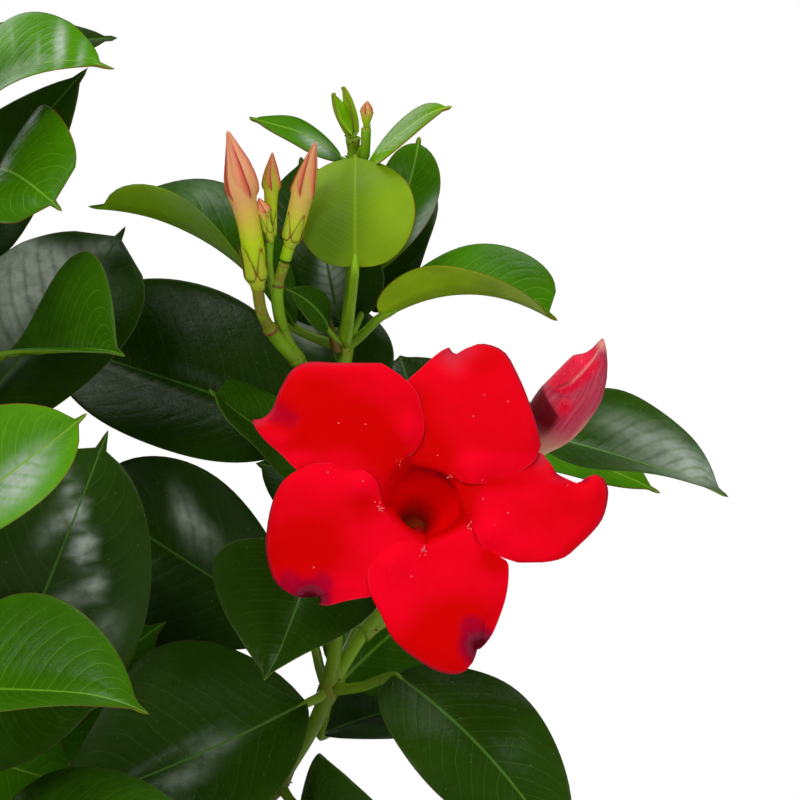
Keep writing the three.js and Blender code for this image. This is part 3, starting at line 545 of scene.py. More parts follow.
# ---- node tools ----
def node(tree, kind, sockets=None, **attributes):
    made = tree.nodes.new("ShaderNode" + kind)
    for key, value in attributes.items():
        setattr(made, key, value)
    for key, value in (sockets or {}).items():
        if isinstance(value, bpy.types.NodeSocket):
            tree.links.new(value, made.inputs[key])
        else:
            made.inputs[key].default_value = value
    return made


def maths(operation, a, b=0.0, c=0.0):
    """A sum of sockets and numbers, in the tree of the first socket."""
    tree = next(value.id_data for value in (a, b, c) if isinstance(value, bpy.types.NodeSocket))
    return node(tree, "Math", {0: a, 1: b, 2: c}, operation=operation).outputs[0]


def times(a, b):
    return maths("MULTIPLY", a, b)


def scaled(value, by, plus):
    return maths("MULTIPLY_ADD", value, by, plus)


def minus(a, b):
    return maths("SUBTRACT", a, b)


def around(cloud, by, plus):
    """A cloud counted from its middle, times by, added to another value."""
    return scaled(minus(cloud, 0.5), by, plus)


def step(value, low, high, first=0.0, second=1.0):
    """A soft step of a value between low and high."""
    sockets = {"Value": value, "From Min": low, "From Max": high, "To Min": first, "To Max": second}
    return node(value.id_data, "MapRange", sockets, interpolation_type="SMOOTHSTEP").outputs[0]


def opaque(colour):
    return colour if isinstance(colour, bpy.types.NodeSocket) else (*colour, 1)


def mixed(factor, a, b, share=None):
    """Colour b laid over colour a by a factor, or by a share of that factor."""
    factor = factor if share is None else times(factor, share)
    return node(factor.id_data, "Mix", {0: factor, 6: opaque(a), 7: opaque(b)}, data_type="RGBA").outputs[2]


def ramp(factor, stops):
    """A run of colours, given as (place, colour), that a factor picks from."""
    made = node(factor.id_data, "ValToRGB", {0: factor})
    elements = made.color_ramp.elements
    while len(elements) < len(stops):
        elements.new(0.5)
    for element, (place, colour) in zip(elements, stops):
        element.position = place
        element.color = (*colour, 1)
    return made.outputs[0]


def noise(vector, scale, detail=3.0, rough=0.55):
    sockets = {"Vector": vector, "Scale": scale, "Detail": detail, "Roughness": rough}
    return node(vector.id_data, "TexNoise", sockets).outputs[0]


def attribute(tree, name):
    return node(tree, "Attribute", attribute_name=name).outputs["Fac"]


def group(name, inputs, outputs, build):
    """A shader node group, built once."""
    tree = bpy.data.node_groups.get(name)
    if tree is None:
        tree = bpy.data.node_groups.new(name, "ShaderNodeTree")
        for label in inputs:
            kind = "NodeSocketVector" if label == "Vector" else "NodeSocketFloat"
            tree.interface.new_socket(label, in_out="INPUT", socket_type=kind)
        for label in outputs:
            tree.interface.new_socket(label, in_out="OUTPUT", socket_type="NodeSocketFloat")
        start, end = tree.nodes.new("NodeGroupInput"), tree.nodes.new("NodeGroupOutput")
        for label, socket in build(tree, start.outputs).items():
            tree.links.new(socket, end.inputs[label])
    return tree


def use(tree, shared, **sockets):
    return node(tree, "Group", sockets, node_tree=shared).outputs


def material(name, build, **constants):
    """A Principled material. build(tree) gives the linked sockets; the constants are set on it."""
    made = bpy.data.materials.get(name)
    if made:
        return made
    made = bpy.data.materials.new(name)
    made.use_nodes = True
    tree = made.node_tree
    shader = tree.nodes["Principled BSDF"]
    for key, value in constants.items():
        shader.inputs[key.replace("_", " ").title().replace("Ior", "IOR")].default_value = value
    for key, socket in build(tree).items():
        tree.links.new(socket, shader.inputs[key])
    return made


def principled(**constants):
    """Makes a material of a function that gives its linked sockets, under the function's name."""

    def wrap(build):
        return lambda *given: material(build.__name__, lambda tree: build(tree, *given), **constants)

    return wrap


def finish(colour, relief, strength, distance, **others):
    """The sockets of a finish: its colour, its relief as a bump, and any others by name."""
    sockets = {"Strength": strength, "Distance": distance, "Height": relief}
    bumped = node(relief.id_data, "Bump", sockets).outputs[0]
    named = {key.replace("_", " "): value for key, value in others.items()}
    return {"Base Color": colour, "Normal": bumped, **named}


def veins_group():
    """Veins of a leaf: its midrib, side veins and margin, and their relief."""

    def build(tree, start):
        u = scaled(start["Across"], 2.0, -1.0)
        a = maths("ABSOLUTE", u)
        from_rib = times(a, start["Half width"])
        to_rim = minus(start["Half width"], from_rib)
        rib_half = scaled(start["Along"], -0.3, 0.5)
        rib = step(from_rib, times(rib_half, 0.55), times(rib_half, 1.3), 1.0, 0.0)
        bend = scaled(maths("POWER", a, 3.0), 0.1, times(a, 0.22))
        phase = times(minus(start["Along"], bend), VEINS)
        phase = scaled(maths("GREATER_THAN", u, 0.0), 0.45, phase)
        phase = scaled(noise(start["Vector"], 110.0, 1.0), 0.5, phase)
        phase = maths("ADD", phase, start["Seed"])
        gap = maths("ABSOLUTE", minus(maths("FRACT", phase), 0.5))
        between = minus(0.5, gap)
        inside = step(a, 0.6, 0.97, 1.0, 0.0)
        fainter = times(step(between, 0.005, 0.04, 0.4, 0.0), step(a, 0.3, 0.75, 1.0, 0.0))
        side_vein = times(maths("MAXIMUM", step(gap, 0.008, 0.042, 1.0, 0.0), fainter), inside)
        quilt = times(step(gap, 0.0, 0.3, 0.0, 1.0), inside)
        height = minus(quilt, times(rib, 0.8))
        return {
            "Midrib": rib,
            "Side veins": side_vein,
            "Margin": step(to_rim, 0.1, 0.42, 1.0, 0.0),
            "Height": height,
        }

    inputs = ("Vector", "Across", "Along", "Half width", "Seed")
    return group("leaf_veins", inputs, ("Midrib", "Side veins", "Margin", "Height"), build)


def mottle_group():
    """Cloudy unevenness: a broad cloud, a fine one and a grain."""

    def build(tree, start):
        broad = step(noise(start["Vector"], start["Scale"], 3.0), 0.35, 0.68)
        scale = times(start["Scale"], 5.5)
        fine = step(noise(start["Vector"], scale, 4.0, 0.65), 0.3, 0.7)
        scale = times(start["Scale"], 22.0)
        return {"Broad": broad, "Fine": fine, "Grain": noise(start["Vector"], scale, 2.0)}

    return group("mottle", ("Vector", "Scale"), ("Broad", "Fine", "Grain"), build)


def specks_group():
    """Sparse tiny dots."""

    def build(tree, start):
        cells = node(tree, "TexVoronoi", {"Vector": start["Vector"], "Scale": start["Scale"]}, feature="F1")
        near = maths("LESS_THAN", cells.outputs["Distance"], start["Size"])
        pick = node(tree, "SeparateColor", {0: cells.outputs["Color"]}).outputs[0]
        return {"Specks": times(near, maths("LESS_THAN", pick, start["Share"]))}

    return group("specks", ("Vector", "Scale", "Size", "Share"), ("Specks",), build)


def coordinates(tree):
    return node(tree, "TexCoord").outputs["Object"]


def mottled(tree, scale):
    return use(tree, mottle_group(), Vector=coordinates(tree), Scale=scale)


def specked(tree, scale, size, share):
    return use(tree, specks_group(), Vector=coordinates(tree), Scale=scale, Size=size, Share=share)["Specks"]


def uv_of(tree):
    split = node(tree, "SeparateXYZ", {0: node(tree, "UVMap", uv_map="UVMap").outputs[0]})
    return split.outputs[0], split.outputs[1]


# ---- materials ----
def leaf_surface(tree):
    across, along = uv_of(tree)
    veins = use(tree, veins_group(), **{
        "Vector": coordinates(tree), "Across": across, "Along": along,
        "Half width": attribute(tree, "half_width"), "Seed": attribute(tree, "seed"),
    })
    return veins, mottled(tree, 55.0)


def waxed(tree, colour, veins, mottle):
    """A painted grey sheen, strongest between the veins, and painted shade of deeper green below 0."""
    wax = attribute(tree, "wax")
    cloud = scaled(mottle["Fine"], 0.35, scaled(veins["Height"], 0.25, 0.42))
    colour = mixed(times(step(wax, 0.0, 1.0), cloud), colour, (0.46, 0.52, 0.44))
    return mixed(step(wax, -1.0, 0.0, 0.7, 0.0), colour, (0.02, 0.075, 0.001))


@principled(specular_ior_level=0.08, emission_strength=0.3)
def leaf_upper(tree):
    veins, mottle = leaf_surface(tree)
    age = attribute(tree, "tone")
    tone = around(mottle["Broad"], 0.08, age)
    tone = around(mottle["Fine"], 0.04, tone)
    colour = ramp(tone, [
        (0.0, (0.009, 0.025, 0.0015)), (0.3, (0.017, 0.052, 0.001)), (0.5, (0.033, 0.12, 0.001)),
        (0.8, (0.075, 0.26, 0.001)), (1.0, (0.15, 0.33, 0.002)),
    ])
    vein = ramp(age, [
        (0.0, (0.035, 0.095, 0.014)), (0.25, (0.055, 0.15, 0.015)), (0.5, (0.13, 0.3, 0.02)),
        (1.0, (0.28, 0.5, 0.03)),
    ])
    rim = ramp(attribute(tree, "blush"), [(0.0, (0.075, 0.09, 0.02)), (1.0, (0.18, 0.055, 0.015))])
    # painted grey sheen and painted shade from the table of patches
    colour = waxed(tree, colour, veins, mottle)
    shows = times(step(age, 0.1, 0.6, 0.24, 0.45), step(age, 0.85, 0.95, 1.0, 0.3))
    colour = mixed(times(veins["Side veins"], shows), colour, vein)
    colour = mixed(veins["Midrib"], colour, vein, 0.9)
    colour = mixed(times(veins["Margin"], step(age, 0.0, 0.5, 0.55, 0.8)), colour, rim)
    dust = specked(tree, 560.0, 0.07, 0.45)
    colour = mixed(dust, colour, (0.35, 0.4, 0.3), 0.3)
    rough = step(age, 0.0, 0.8, 0.27, 0.22)
    rough = scaled(mottle["Fine"], 0.1, rough)
    height = scaled(mottle["Fine"], 0.5, times(veins["Height"], 0.4))
    height = scaled(mottle["Grain"], 0.2, height)
    # painted glow: the youngest leaves give off their own colour, for the light shining through them
    through = mixed(step(age, 0.9, 1.0), (0, 0, 0), colour)
    return finish(colour, height, 0.5, 0.0002, Roughness=rough, Emission_Color=through)


@principled(specular_ior_level=0.12, emission_strength=0.3)
def leaf_under(tree):
    veins, mottle = leaf_surface(tree)
    tone = attribute(tree, "tone")
    colour = ramp(tone, [
        (0.0, (0.035, 0.09, 0.004)), (0.4, (0.28, 0.52, 0.002)), (0.64, (0.4, 0.66, 0.003)),
        (0.85, (0.26, 0.43, 0.003)), (1.0, (0.18, 0.3, 0.001)),
    ])
    vein = ramp(tone, [(0.0, (0.08, 0.16, 0.012)), (1.0, (0.28, 0.42, 0.005))])
    colour = mixed(mottle["Broad"], colour, (0.07, 0.15, 0.001), 0.35)
    # painted grey sheen and painted shade from the table of patches
    colour = waxed(tree, colour, veins, mottle)
    colour = mixed(veins["Side veins"], colour, vein, 0.22)
    colour = mixed(veins["Midrib"], colour, vein, 0.35)
    rim = ramp(attribute(tree, "blush"), [(0.0, (0.08, 0.14, 0.02)), (1.0, (0.2, 0.05, 0.015))])
    colour = mixed(veins["Margin"], colour, rim, 0.7)
    rough = scaled(mottle["Fine"], 0.12, 0.45)
    height = scaled(veins["Side veins"], 0.5, times(mottle["Fine"], 0.2))
    # painted glow: the youngest undersides give off their own colour, for the light shining through them
    through = mixed(step(tone, 0.98, 1.0), (0, 0, 0), colour)
    return finish(colour, height, 0.4, 0.0002, Roughness=rough, Emission_Color=through)


@principled(specular_ior_level=0.25)
def stem_green(tree):
    mottle = mottled(tree, 110.0)
    age = attribute(tree, "tone")
    colour = ramp(age, [
        (0.0, (0.09, 0.075, 0.025)), (0.3, (0.12, 0.17, 0.01)), (0.55, (0.15, 0.27, 0.004)),
        (0.8, (0.19, 0.38, 0.006)), (1.0, (0.26, 0.48, 0.01)),
    ])
    colour = mixed(mottle["Broad"], colour, (0.07, 0.13, 0.006), 0.3)
    brown = times(attribute(tree, "blush"), step(mottle["Fine"], 0.1, 0.6))
    colour = mixed(brown, colour, (0.2, 0.07, 0.012))
    dots = specked(tree, 900.0, 0.25, 0.2)
    colour = mixed(dots, colour, (0.1, 0.05, 0.02), 0.45)
    rough = scaled(mottle["Fine"], 0.12, 0.34)
    return finish(colour, mottle["Grain"], 0.3, 0.0002, Roughness=rough)


def petal_grain(tree):
    """Fine streaks along the petal, and specks."""
    across, along = uv_of(tree)
    streaks = node(tree, "CombineXYZ", {0: times(across, 34.0), 1: times(along, 3.0)})
    return noise(streaks.outputs[0], 1.0, 3.0), specked(tree, 360.0, 0.05, 0.4)


@principled(specular_ior_level=0.02, emission_strength=0.06)
def petal_front(tree, settings):
    fine, specks = petal_grain(tree)
    deep, light = settings.petal_colour, settings.petal_blush
    mottle = mottled(tree, 48.0)
    # painted light and shade: the lighter red on bulges and lit patches, the deep red in shade
    blush = around(mottle["Broad"], 0.3, attribute(tree, "blush"))
    blush = around(mottle["Fine"], 0.12, blush)
    colour = mixed(step(blush, 0.0, 1.0), deep, light)
    colour = mixed(step(fine, 0.4, 0.7), colour, (0.45, 0.0, 0.003), 0.06)
    # painted shade in and around the hollows and high on the throat wall: purple, grey-pink, then maroon
    painted_shade = times(attribute(tree, "bruise"), scaled(mottle["Fine"], 0.3, 0.85))
    colour = mixed(step(painted_shade, 0.0, 0.4, 0.0, 0.85), colour, (0.3, 0.0, 0.02))
    colour = mixed(step(painted_shade, 0.4, 0.6, 0.0, 0.85), colour, (0.22, 0.013, 0.036))
    colour = mixed(step(painted_shade, 0.64, 0.92), colour, (0.11, 0.001, 0.008))
    colour = mixed(attribute(tree, "pale"), colour, (0.5, 0.025, 0.05), 0.85)
    colour = mixed(attribute(tree, "margin"), colour, (0.62, 0.02, 0.05), 0.7)
    colour = mixed(specks, colour, (0.95, 0.3, 0.3))
    height = scaled(mottle["Fine"], 0.6, fine)
    height = scaled(mottle["Grain"], 0.3, height)
    rough = scaled(mottle["Fine"], 0.1, 0.62)
    # painted glow: red light given off down the throat wall, for the light coming through its thin wall
    depth = times(uv_of(tree)[1], -1.0)
    through = ramp(depth, [(0.0, (0, 0, 0)), (0.5, (0.5, 0, 0)), (1.0, (1, 0, 0.01))])
    return finish(colour, height, 0.2, 0.00018, Roughness=rough, Emission_Color=through)


@principled(roughness=0.55, specular_ior_level=0.2, sheen_weight=0.25, sheen_roughness=0.4,
            sheen_tint=(1.0, 0.6, 0.7, 1))
def petal_back(tree):
    fine, _ = petal_grain(tree)
    colour = mixed(step(fine, 0.35, 0.7), (0.36, 0.02, 0.055), (0.5, 0.035, 0.08))
    colour = mixed(attribute(tree, "margin"), colour, (0.6, 0.09, 0.12))
    return finish(colour, fine, 0.3, 0.0002)


@principled(roughness=0.6, specular_ior_level=0.05, emission_strength=0.09)
def throat_inside(tree):
    _, along = uv_of(tree)
    cloud = mottled(tree, 70.0)
    colour = ramp(along, [
        (0.0, (0.9, 0.0, 0.002)), (0.3, (0.92, 0.0, 0.002)), (0.42, (0.8, 0.01, 0.003)),
        (0.5, (0.5, 0.1, 0.006)),
    ])
    # painted shade: dark purple in an arc partway down one side of the wall and lower down the other
    purple = times(attribute(tree, "bruise"), step(cloud["Broad"], 0.1, 0.8))
    colour = mixed(purple, colour, (0.3, 0.0, 0.02), 0.9)
    # painted glow for the light through the thin wall, strongest partway down, none in the painted shade
    through = ramp(along, [
        (0.13, (0.1, 0, 0.01)), (0.2, (0.8, 0, 0)), (0.3, (1, 0, 0)), (0.42, (0.3, 0.005, 0)),
        (0.5, (0.1, 0.03, 0)),
    ])
    through = mixed(purple, through, (0, 0, 0))
    return finish(colour, cloud["Fine"], 0.3, 0.0003, Emission_Color=through)


@principled(roughness=0.45, specular_ior_level=0.3)
def tube_outside(tree):
    _, along = uv_of(tree)
    cloud = mottled(tree, 90.0)
    colour = ramp(scaled(cloud["Broad"], 0.04, along), [
        (0.5, (0.24, 0.36, 0.04)), (0.62, (0.4, 0.36, 0.08)), (0.76, (0.5, 0.14, 0.07)),
        (0.95, (0.42, 0.025, 0.05)),
    ])
    return finish(colour, cloud["Fine"], 0.3, 0.0003)


def plain(name, colour, second, scale, rough=0.5, strength=0.3, specular=0.3):
    """A mottled finish between two colours."""

    def build(tree):
        cloud = mottled(tree, scale)
        shade = mixed(cloud["Fine"], colour, second)
        return finish(shade, cloud["Grain"], strength, 0.0003)

    return material(name, build, roughness=rough, specular_ior_level=specular)


@principled(roughness=0.4, specular_ior_level=0.2)
def sepal_green(tree):
    across, along = uv_of(tree)
    cloud = mottled(tree, 260.0)
    rim = maths("ABSOLUTE", scaled(across, 2.0, -1.0))
    brown = maths("MAXIMUM", step(rim, 0.6, 1.0), step(along, 0.72, 0.95))
    brown = times(brown, step(cloud["Broad"], -0.4, 0.6))
    colour = mixed(cloud["Fine"], (0.28, 0.42, 0.012), (0.42, 0.46, 0.02))
    colour = mixed(brown, colour, (0.27, 0.06, 0.015))
    return finish(colour, cloud["Fine"], 0.3, 0.0002)


@principled(roughness=0.34, specular_ior_level=0.2)
def bud_skin(tree):
    _, along = uv_of(tree)
    cloud = mottled(tree, 120.0)
    place = scaled(cloud["Broad"], 0.05, along)
    warm = ramp(place, [
        (0.0, (0.24, 0.44, 0.004)), (0.3, (0.42, 0.54, 0.006)), (0.44, (0.58, 0.42, 0.05)),
        (0.56, (0.68, 0.34, 0.11)), (0.85, (0.76, 0.34, 0.17)), (1.0, (0.66, 0.28, 0.14)),
    ])
    green = ramp(place, [
        (0.0, (0.22, 0.4, 0.004)), (0.4, (0.34, 0.5, 0.004)), (0.62, (0.36, 0.42, 0.012)),
        (0.85, (0.34, 0.24, 0.03)), (1.0, (0.4, 0.14, 0.06)),
    ])
    colour = mixed(attribute(tree, "tone"), warm, green)
    colour = mixed(attribute(tree, "blush"), colour, (0.56, 0.06, 0.04))
    colour = mixed(attribute(tree, "bruise"), colour, (0.17, 0.012, 0.01))
    return finish(colour, cloud["Fine"], 0.3, 0.0002)


@principled(roughness=0.5, specular_ior_level=0.12, sheen_weight=0.12, sheen_roughness=0.45,
            sheen_tint=(1.0, 0.6, 0.65, 1))
def furled_skin(tree):
    across, along = uv_of(tree)
    lines = node(tree, "CombineXYZ", {0: times(across, 60.0), 1: times(along, 6.0)})
    lines = noise(lines.outputs[0], 1.0, 3.0)
    velvet = noise(coordinates(tree), 1900.0, 2.0)
    colour = mixed(attribute(tree, "tone"), (0.47, 0.02, 0.06), (0.64, 0.34, 0.2))
    colour = mixed(step(lines, 0.4, 0.65), colour, (0.56, 0.14, 0.16), 0.4)
    colour = mixed(attribute(tree, "blush"), colour, (0.74, 0.0, 0.028))
    dots = specked(tree, 1500.0, 0.26, 0.5)
    colour = mixed(times(attribute(tree, "blush"), times(dots, 0.4)), colour, (0.85, 0.2, 0.24))
    # painted shade: the side turned away, a crease line under the wrapping edge, darker by the far edge
    colour = mixed(attribute(tree, "bruise"), colour, (0.14, 0.0, 0.005))
    colour = mixed(attribute(tree, "margin"), colour, (0.8, 0.3, 0.24))
    height = scaled(velvet, 0.6, lines)
    return finish(colour, height, 0.5, 0.0002)


@principled(specular_ior_level=0.25)
def clay_body(tree, settings):
    height = node(tree, "SeparateXYZ", {0: coordinates(tree)}).outputs[2]
    cloud = mottled(tree, 26.0)
    colour = mixed(cloud["Fine"], settings.clay_colour, (0.42, 0.145, 0.062))
    colour = mixed(cloud["Grain"], colour, (0.62, 0.27, 0.14), 0.25)
    foot = step(scaled(cloud["Broad"], -0.018, height), -0.004, 0.03, 1.0, 0.0)
    rim = step(scaled(cloud["Broad"], 0.012, height), 0.118, 0.134)
    bloom = times(maths("MAXIMUM", foot, rim), step(cloud["Fine"], 0.2, 0.9))
    colour = mixed(bloom, colour, (0.62, 0.5, 0.4), 0.45)
    damp = times(step(height, 0.055, 0.1), step(cloud["Broad"], 0.2, 0.9))
    colour = mixed(damp, colour, (0.24, 0.075, 0.035), 0.35)
    relief = scaled(cloud["Fine"], 0.5, cloud["Grain"])
    rough = scaled(cloud["Fine"], 0.14, 0.74)
    return finish(colour, relief, 0.5, 0.0005, Roughness=rough)


# ---- leaves and stems ----
# how light a leaf is, from old and dark to young and bright; the others are dark
TONES = {
    "t1": 0.97, "t2": 0.64, "t11": 0.95, "t12": 1.0, "t13": 1.0, "f1": 0.78, "r2": 0.76, "c1": 0.7,
    "c4": 0.55, "c6": 0.44, "f2": 0.49, "t3": 0.4, "t10": 0.62, "t4": 0.62, "r1": 0.34, "t8": 0.4, "r3": 0.36,
    "t9": 0.2, "r12": 0.1, "r13": 0.42, "c5": 0.2, "c7": 0.22, "f4": 0.3, "r10": 0.26, "r6": 0.12, "r7": 0.1,
    "r8": 0.2, "r9": 0.22, "t5": 0.16, "t6": 0.2, "t7": 0.26,
}
# how far a leaf rises between its side veins
PUCKERS = {"c1": 2.6, "f1": 0.8, "f2": 0.3, "t11": 0.2, "t10": 0.9}
# painted grey sheen on a leaf above 0, painted shade below 0: place (x, z), length, width, turn, how much
SHEEN_AND_SHADE = {
    "c5": [(7, 326, 14, 6.5, -15, 1.6), (26, 331, 7, 2.5, 10, 0.5), (3, 314, 12, 7, 70, 0.7)],
    "c6": [(12, 322, 9, 6, 60, -0.5)],
    "c7": [(22, 264, 16, 1.8, 102, 1.1), (17, 248, 6, 1.4, 75, 0.7), (14.5, 268, 6, 3, 60, 0.4),
           (28, 243, 8, 3, 60, 0.25)],
    "r7": [(44, 266, 8, 3, 108, 0.6), (50, 260, 7, 2.4, 118, 0.4), (57, 254, 5, 1.6, 125, 0.25)],
    "r9": [(48.6, 211, 9, 1.6, 28, 0.6), (42, 205, 6, 1.5, 28, 0.5), (20, 222, 10, 5, 30, 0.2)],
    "r1": [(153, 283, 13, 4.5, -25, 0.55), (166, 276, 9, 4, -35, 0.5)],
    "t7": [(79.5, 324, 9, 3.4, 85, 1.2)], "t9": [(72.4, 307.5, 6, 3, -35, 0.8), (90, 309, 5, 2, -50, 0.4)],
    "t4": [(101.5, 335, 6, 2.2, 62, 1.5)], "t10": [(75.5, 354, 5, 1.5, -35, 0.8)],
    "c1": [(5, 377, 8, 1.4, 105, 0.6), (10.5, 378.5, 6, 1.3, 100, 0.6), (16, 379, 6, 1.6, 95, 0.8),
           (21, 376, 5, 1.2, 80, 0.5), (3, 372, 30, 3, 60, -0.4), (13.5, 370, 8, 1.2, 100, -0.7),
           (8, 371, 8, 1.0, 105, -0.7), (19, 370, 6, 1.0, 90, -0.6)],
    "f1": [(9, 284, 10, 4, 45, 0.9), (13, 274, 8, 3, 50, 0.5)],
    "t1": [(78, 333, 15, 8, 75, -0.9), (86, 346, 6, 12, 0, -0.25)], "t11": [(98, 360, 14, 6, 35, -0.6)],
    "t2": [(124, 326, 12, 5, -20, -0.8)], "t3": [(50, 342, 10, 4, -20, 0.3)],
}
JOINTS = {"bud_large": 0.64, "bud_long": 0.72, "bud_small": 0.93}  # the ring on a bud's stalk
BLUSHING = ("t1", "t2", "t11", "t4", "f1", "c1", "c4")  # leaves with a reddish margin
# the stalk that a fallen leaf left: points, radii
STUB = [[80, -5, 305], [79, -5.5, 309], [78, -6.5, 312.5], [77.9, -6.6, 312.8]], [1.2, 1.05, 0.95, 0.3]


def leaf_tone(leaf, chance):
    if leaf.name in TONES:
        return TONES[leaf.name]
    return 0.14 + 0.3 * chance.random() ** 2 + (0.2 if chance.random() < 0.12 else 0)


def lay_leaf(skin, leaf, near, settings, chance):
    """One blade, closed all round: a groove along the midrib, a keel below, puckers and waves."""
    tone, seed = leaf_tone(leaf, chance), chance.random()
    wave, phase, swell = chance.uniform(0.25, 0.6), chance.uniform(0, TAU), chance.uniform(0, TAU)
    pucker = settings.pucker * 1000 * PUCKERS.get(leaf.name, 0.2 + 0.6 * tone)
    half_thick = settings.blade_thickness * 500
    blush = 1.0 if leaf.name in BLUSHING else float(tone > 0.45) * 0.6
    if leaf.width < 20:
        wave, pucker = wave * 0.3, pucker * 0.4

    def rows(y):
        return 0.55 * y + 0.225 * (1 - np.cos(math.pi * y))

    def place(x, y):
        u, rim = both_faces(x)
        t = rows(y)
        middle, _, up, w = blade(leaf, u, t)
        end = np.minimum(1, np.minimum(t / 0.02, (1 - t) / 0.03)) ** 0.5
        spine, _, _, _ = blade(leaf, u * 0, t)
        middle = spine + (middle - spine) * end[:, None]
        distance = np.abs(u) * w
        form = outline(t, leaf.full, leaf.widest)
        bend = 0.22 * np.abs(u) + 0.1 * np.abs(u) ** 3
        between = np.mod((t - bend) * VEINS + 0.45 * (u > 0) + seed + 0.25, 1)
        lift = pucker * (np.sin(math.pi * between) - 0.6) * np.abs(u) ** 0.4 * (1 - u**4) * form
        lift += wave * u * u * np.sin(TAU * 1.7 * t + phase + (u > 0) * 2.1) * form
        lift += 0.5 * wave * np.sin(TAU * 1.3 * t + 2.2 * u + swell) * np.sin(2.6 * u + phase) * form
        lift -= 0.3 * bell(distance, 0.7) * end
        keel = np.where(rim < 0, 0.75 * bell(distance, 0.75) * (1 - t) ** 0.7 * end, 0)
        thick = np.sign(rim) * np.abs(rim) ** 0.5 * half_thick * end
        return middle + up * (lift + thick - keel)[:, None]

    # painted light: grey sheen patches above 0 and shade patches below 0, summed at each point
    def wax(x, y):
        at = place(x, y)
        total = at[:, 0] * 0
        for px, pz, long, wide, turn, amount in SHEEN_AND_SHADE.get(leaf.name, ()):
            c, n = turned(turn)
            along = (at[:, 0] - px) * c + (at[:, 2] - pz) * n
            aside = (at[:, 2] - pz) * c - (at[:, 0] - px) * n
            total += amount * np.exp(-((along / long) ** 2) - (aside / wide) ** 2)
        return np.clip(total, -1, 1)

    def half_width(x, y):
        return blade(leaf, x * 0, rows(y))[3]

    cells = CELLS["near leaf" if near else "leaf"]
    skin.patch(*cells, place, upper_or_under, sheet_uv(rows), wax=wax, tone=tone, seed=seed, blush=blush,
               half_width=half_width)


def lay_petiole(skin, leaf, tone):
    """A leaf stalk from inside the stem into the keel of the blade."""
    root, base = np.array(leaf.root, float), np.array(leaf.base, float)
    inner, _, up, _ = blade(leaf, np.zeros(3), np.array([0.04, 0.09, 0.15]))
    inner = inner - up * [[0.75], [0.85], [0.7]]
    sag = [0, 0, -0.06 * np.linalg.norm(base - root)]
    t = np.linspace(0, 1, 15)
    line = curve([root, root + (base - root) * 0.5 + sag, base - up[0] * 0.4, *inner], t)
    size = min(1.0, 0.45 + leaf.width / 60)
    radii = size * np.interp(t, [0, 0.2, 0.4, 0.6, 0.8, 1], [1.65, 1.2, 1.1, 0.8, 0.4, 0.1])
    skin.rod(line, radii, 10, tone=tone, blush=lambda x, y: 0.5 * (y < 0.08))


def lay_stem(skin, points, start, end, tones, nodes=(), ring=None):
    """A stem along its path, thicker where leaf pairs stand on it. A flower stalk is browner
    beyond its ring, the joint where its bract fell."""
    steps = 7 * len(points)
    line = curve(points, np.linspace(0, 1, steps + 1))
    radii = np.interp(np.arange(steps + 1), [0, steps], [start, end])
    joint = np.zeros(steps + 1)
    for place in nodes:
        near = bell(np.linalg.norm(line - place, axis=1), 3.4)
        joint = np.maximum(joint, near)
    radii = radii * (1 + 0.5 * joint**1.5)
    rows = len(line) + 1

    def blush(x, y):
        row = np.clip(np.rint(y * rows).astype(int) - 1, 0, steps)
        return 0.35 * joint[row]

    def tone(x, y):
        return tones[0] + (tones[1] - tones[0]) * y

    for place in nodes:
        row = int(np.clip(np.linalg.norm(line - place, axis=1).argmin(), 1, steps - 1))
        axes = frame_of(line[row + 1] - line[row - 1], 0)
        for k in range(8):
            way = axes @ [math.cos(2.4 * k), math.sin(2.4 * k), 0.35 + 0.3 * math.sin(5.1 * k)]
            foot = line[row] + axes[:, 2] * (0.5 * math.sin(3.3 * k))
            hair = foot + way * radii[row] * [[0.8], [1.0], [1.12]]
            skin.rod(hair, [0.24, 0.2, 0.06], 5, tone=0.3, blush=0.9)

    if ring is None:
        skin.rod(line, radii, 12, tone=tone, blush=blush)
        return
    radii = radii * (1 - 0.16 * smooth(ring, ring + 0.06, np.linspace(0, 1, steps + 1)))
    skin.rod(line, radii, 12, tone=tone, blush=lambda x, y: 0.62 * smooth(ring - 0.02, ring + 0.06, y))
    near = curve(points, np.linspace(ring - 0.012, ring + 0.02, 6))
    wide = np.interp(ring * steps, [0, steps], [start, end])
    skin.rod(near, wide * np.array([0.9, 1.1, 1.2, 1.12, 1.16, 0.9]), 12, tone=0.1, blush=0.95)


def lay_tip(skin, end, way, settings, chance):
    """The young folded leaf pair in which a shoot ends."""
    side = unit(np.cross(way, [0.3, 1, 0.2]))
    for turn in (-1, 1):
        base = end + side * turn * 0.8
        tip = base + unit(way + side * turn * 0.45) * TIP_LEAF
        young = Leaf("young", end, base, tip, TIP_WIDTH, [0, 0, 0.2] - side * turn, -1, 28)
        lay_leaf(skin, young, False, settings, chance)


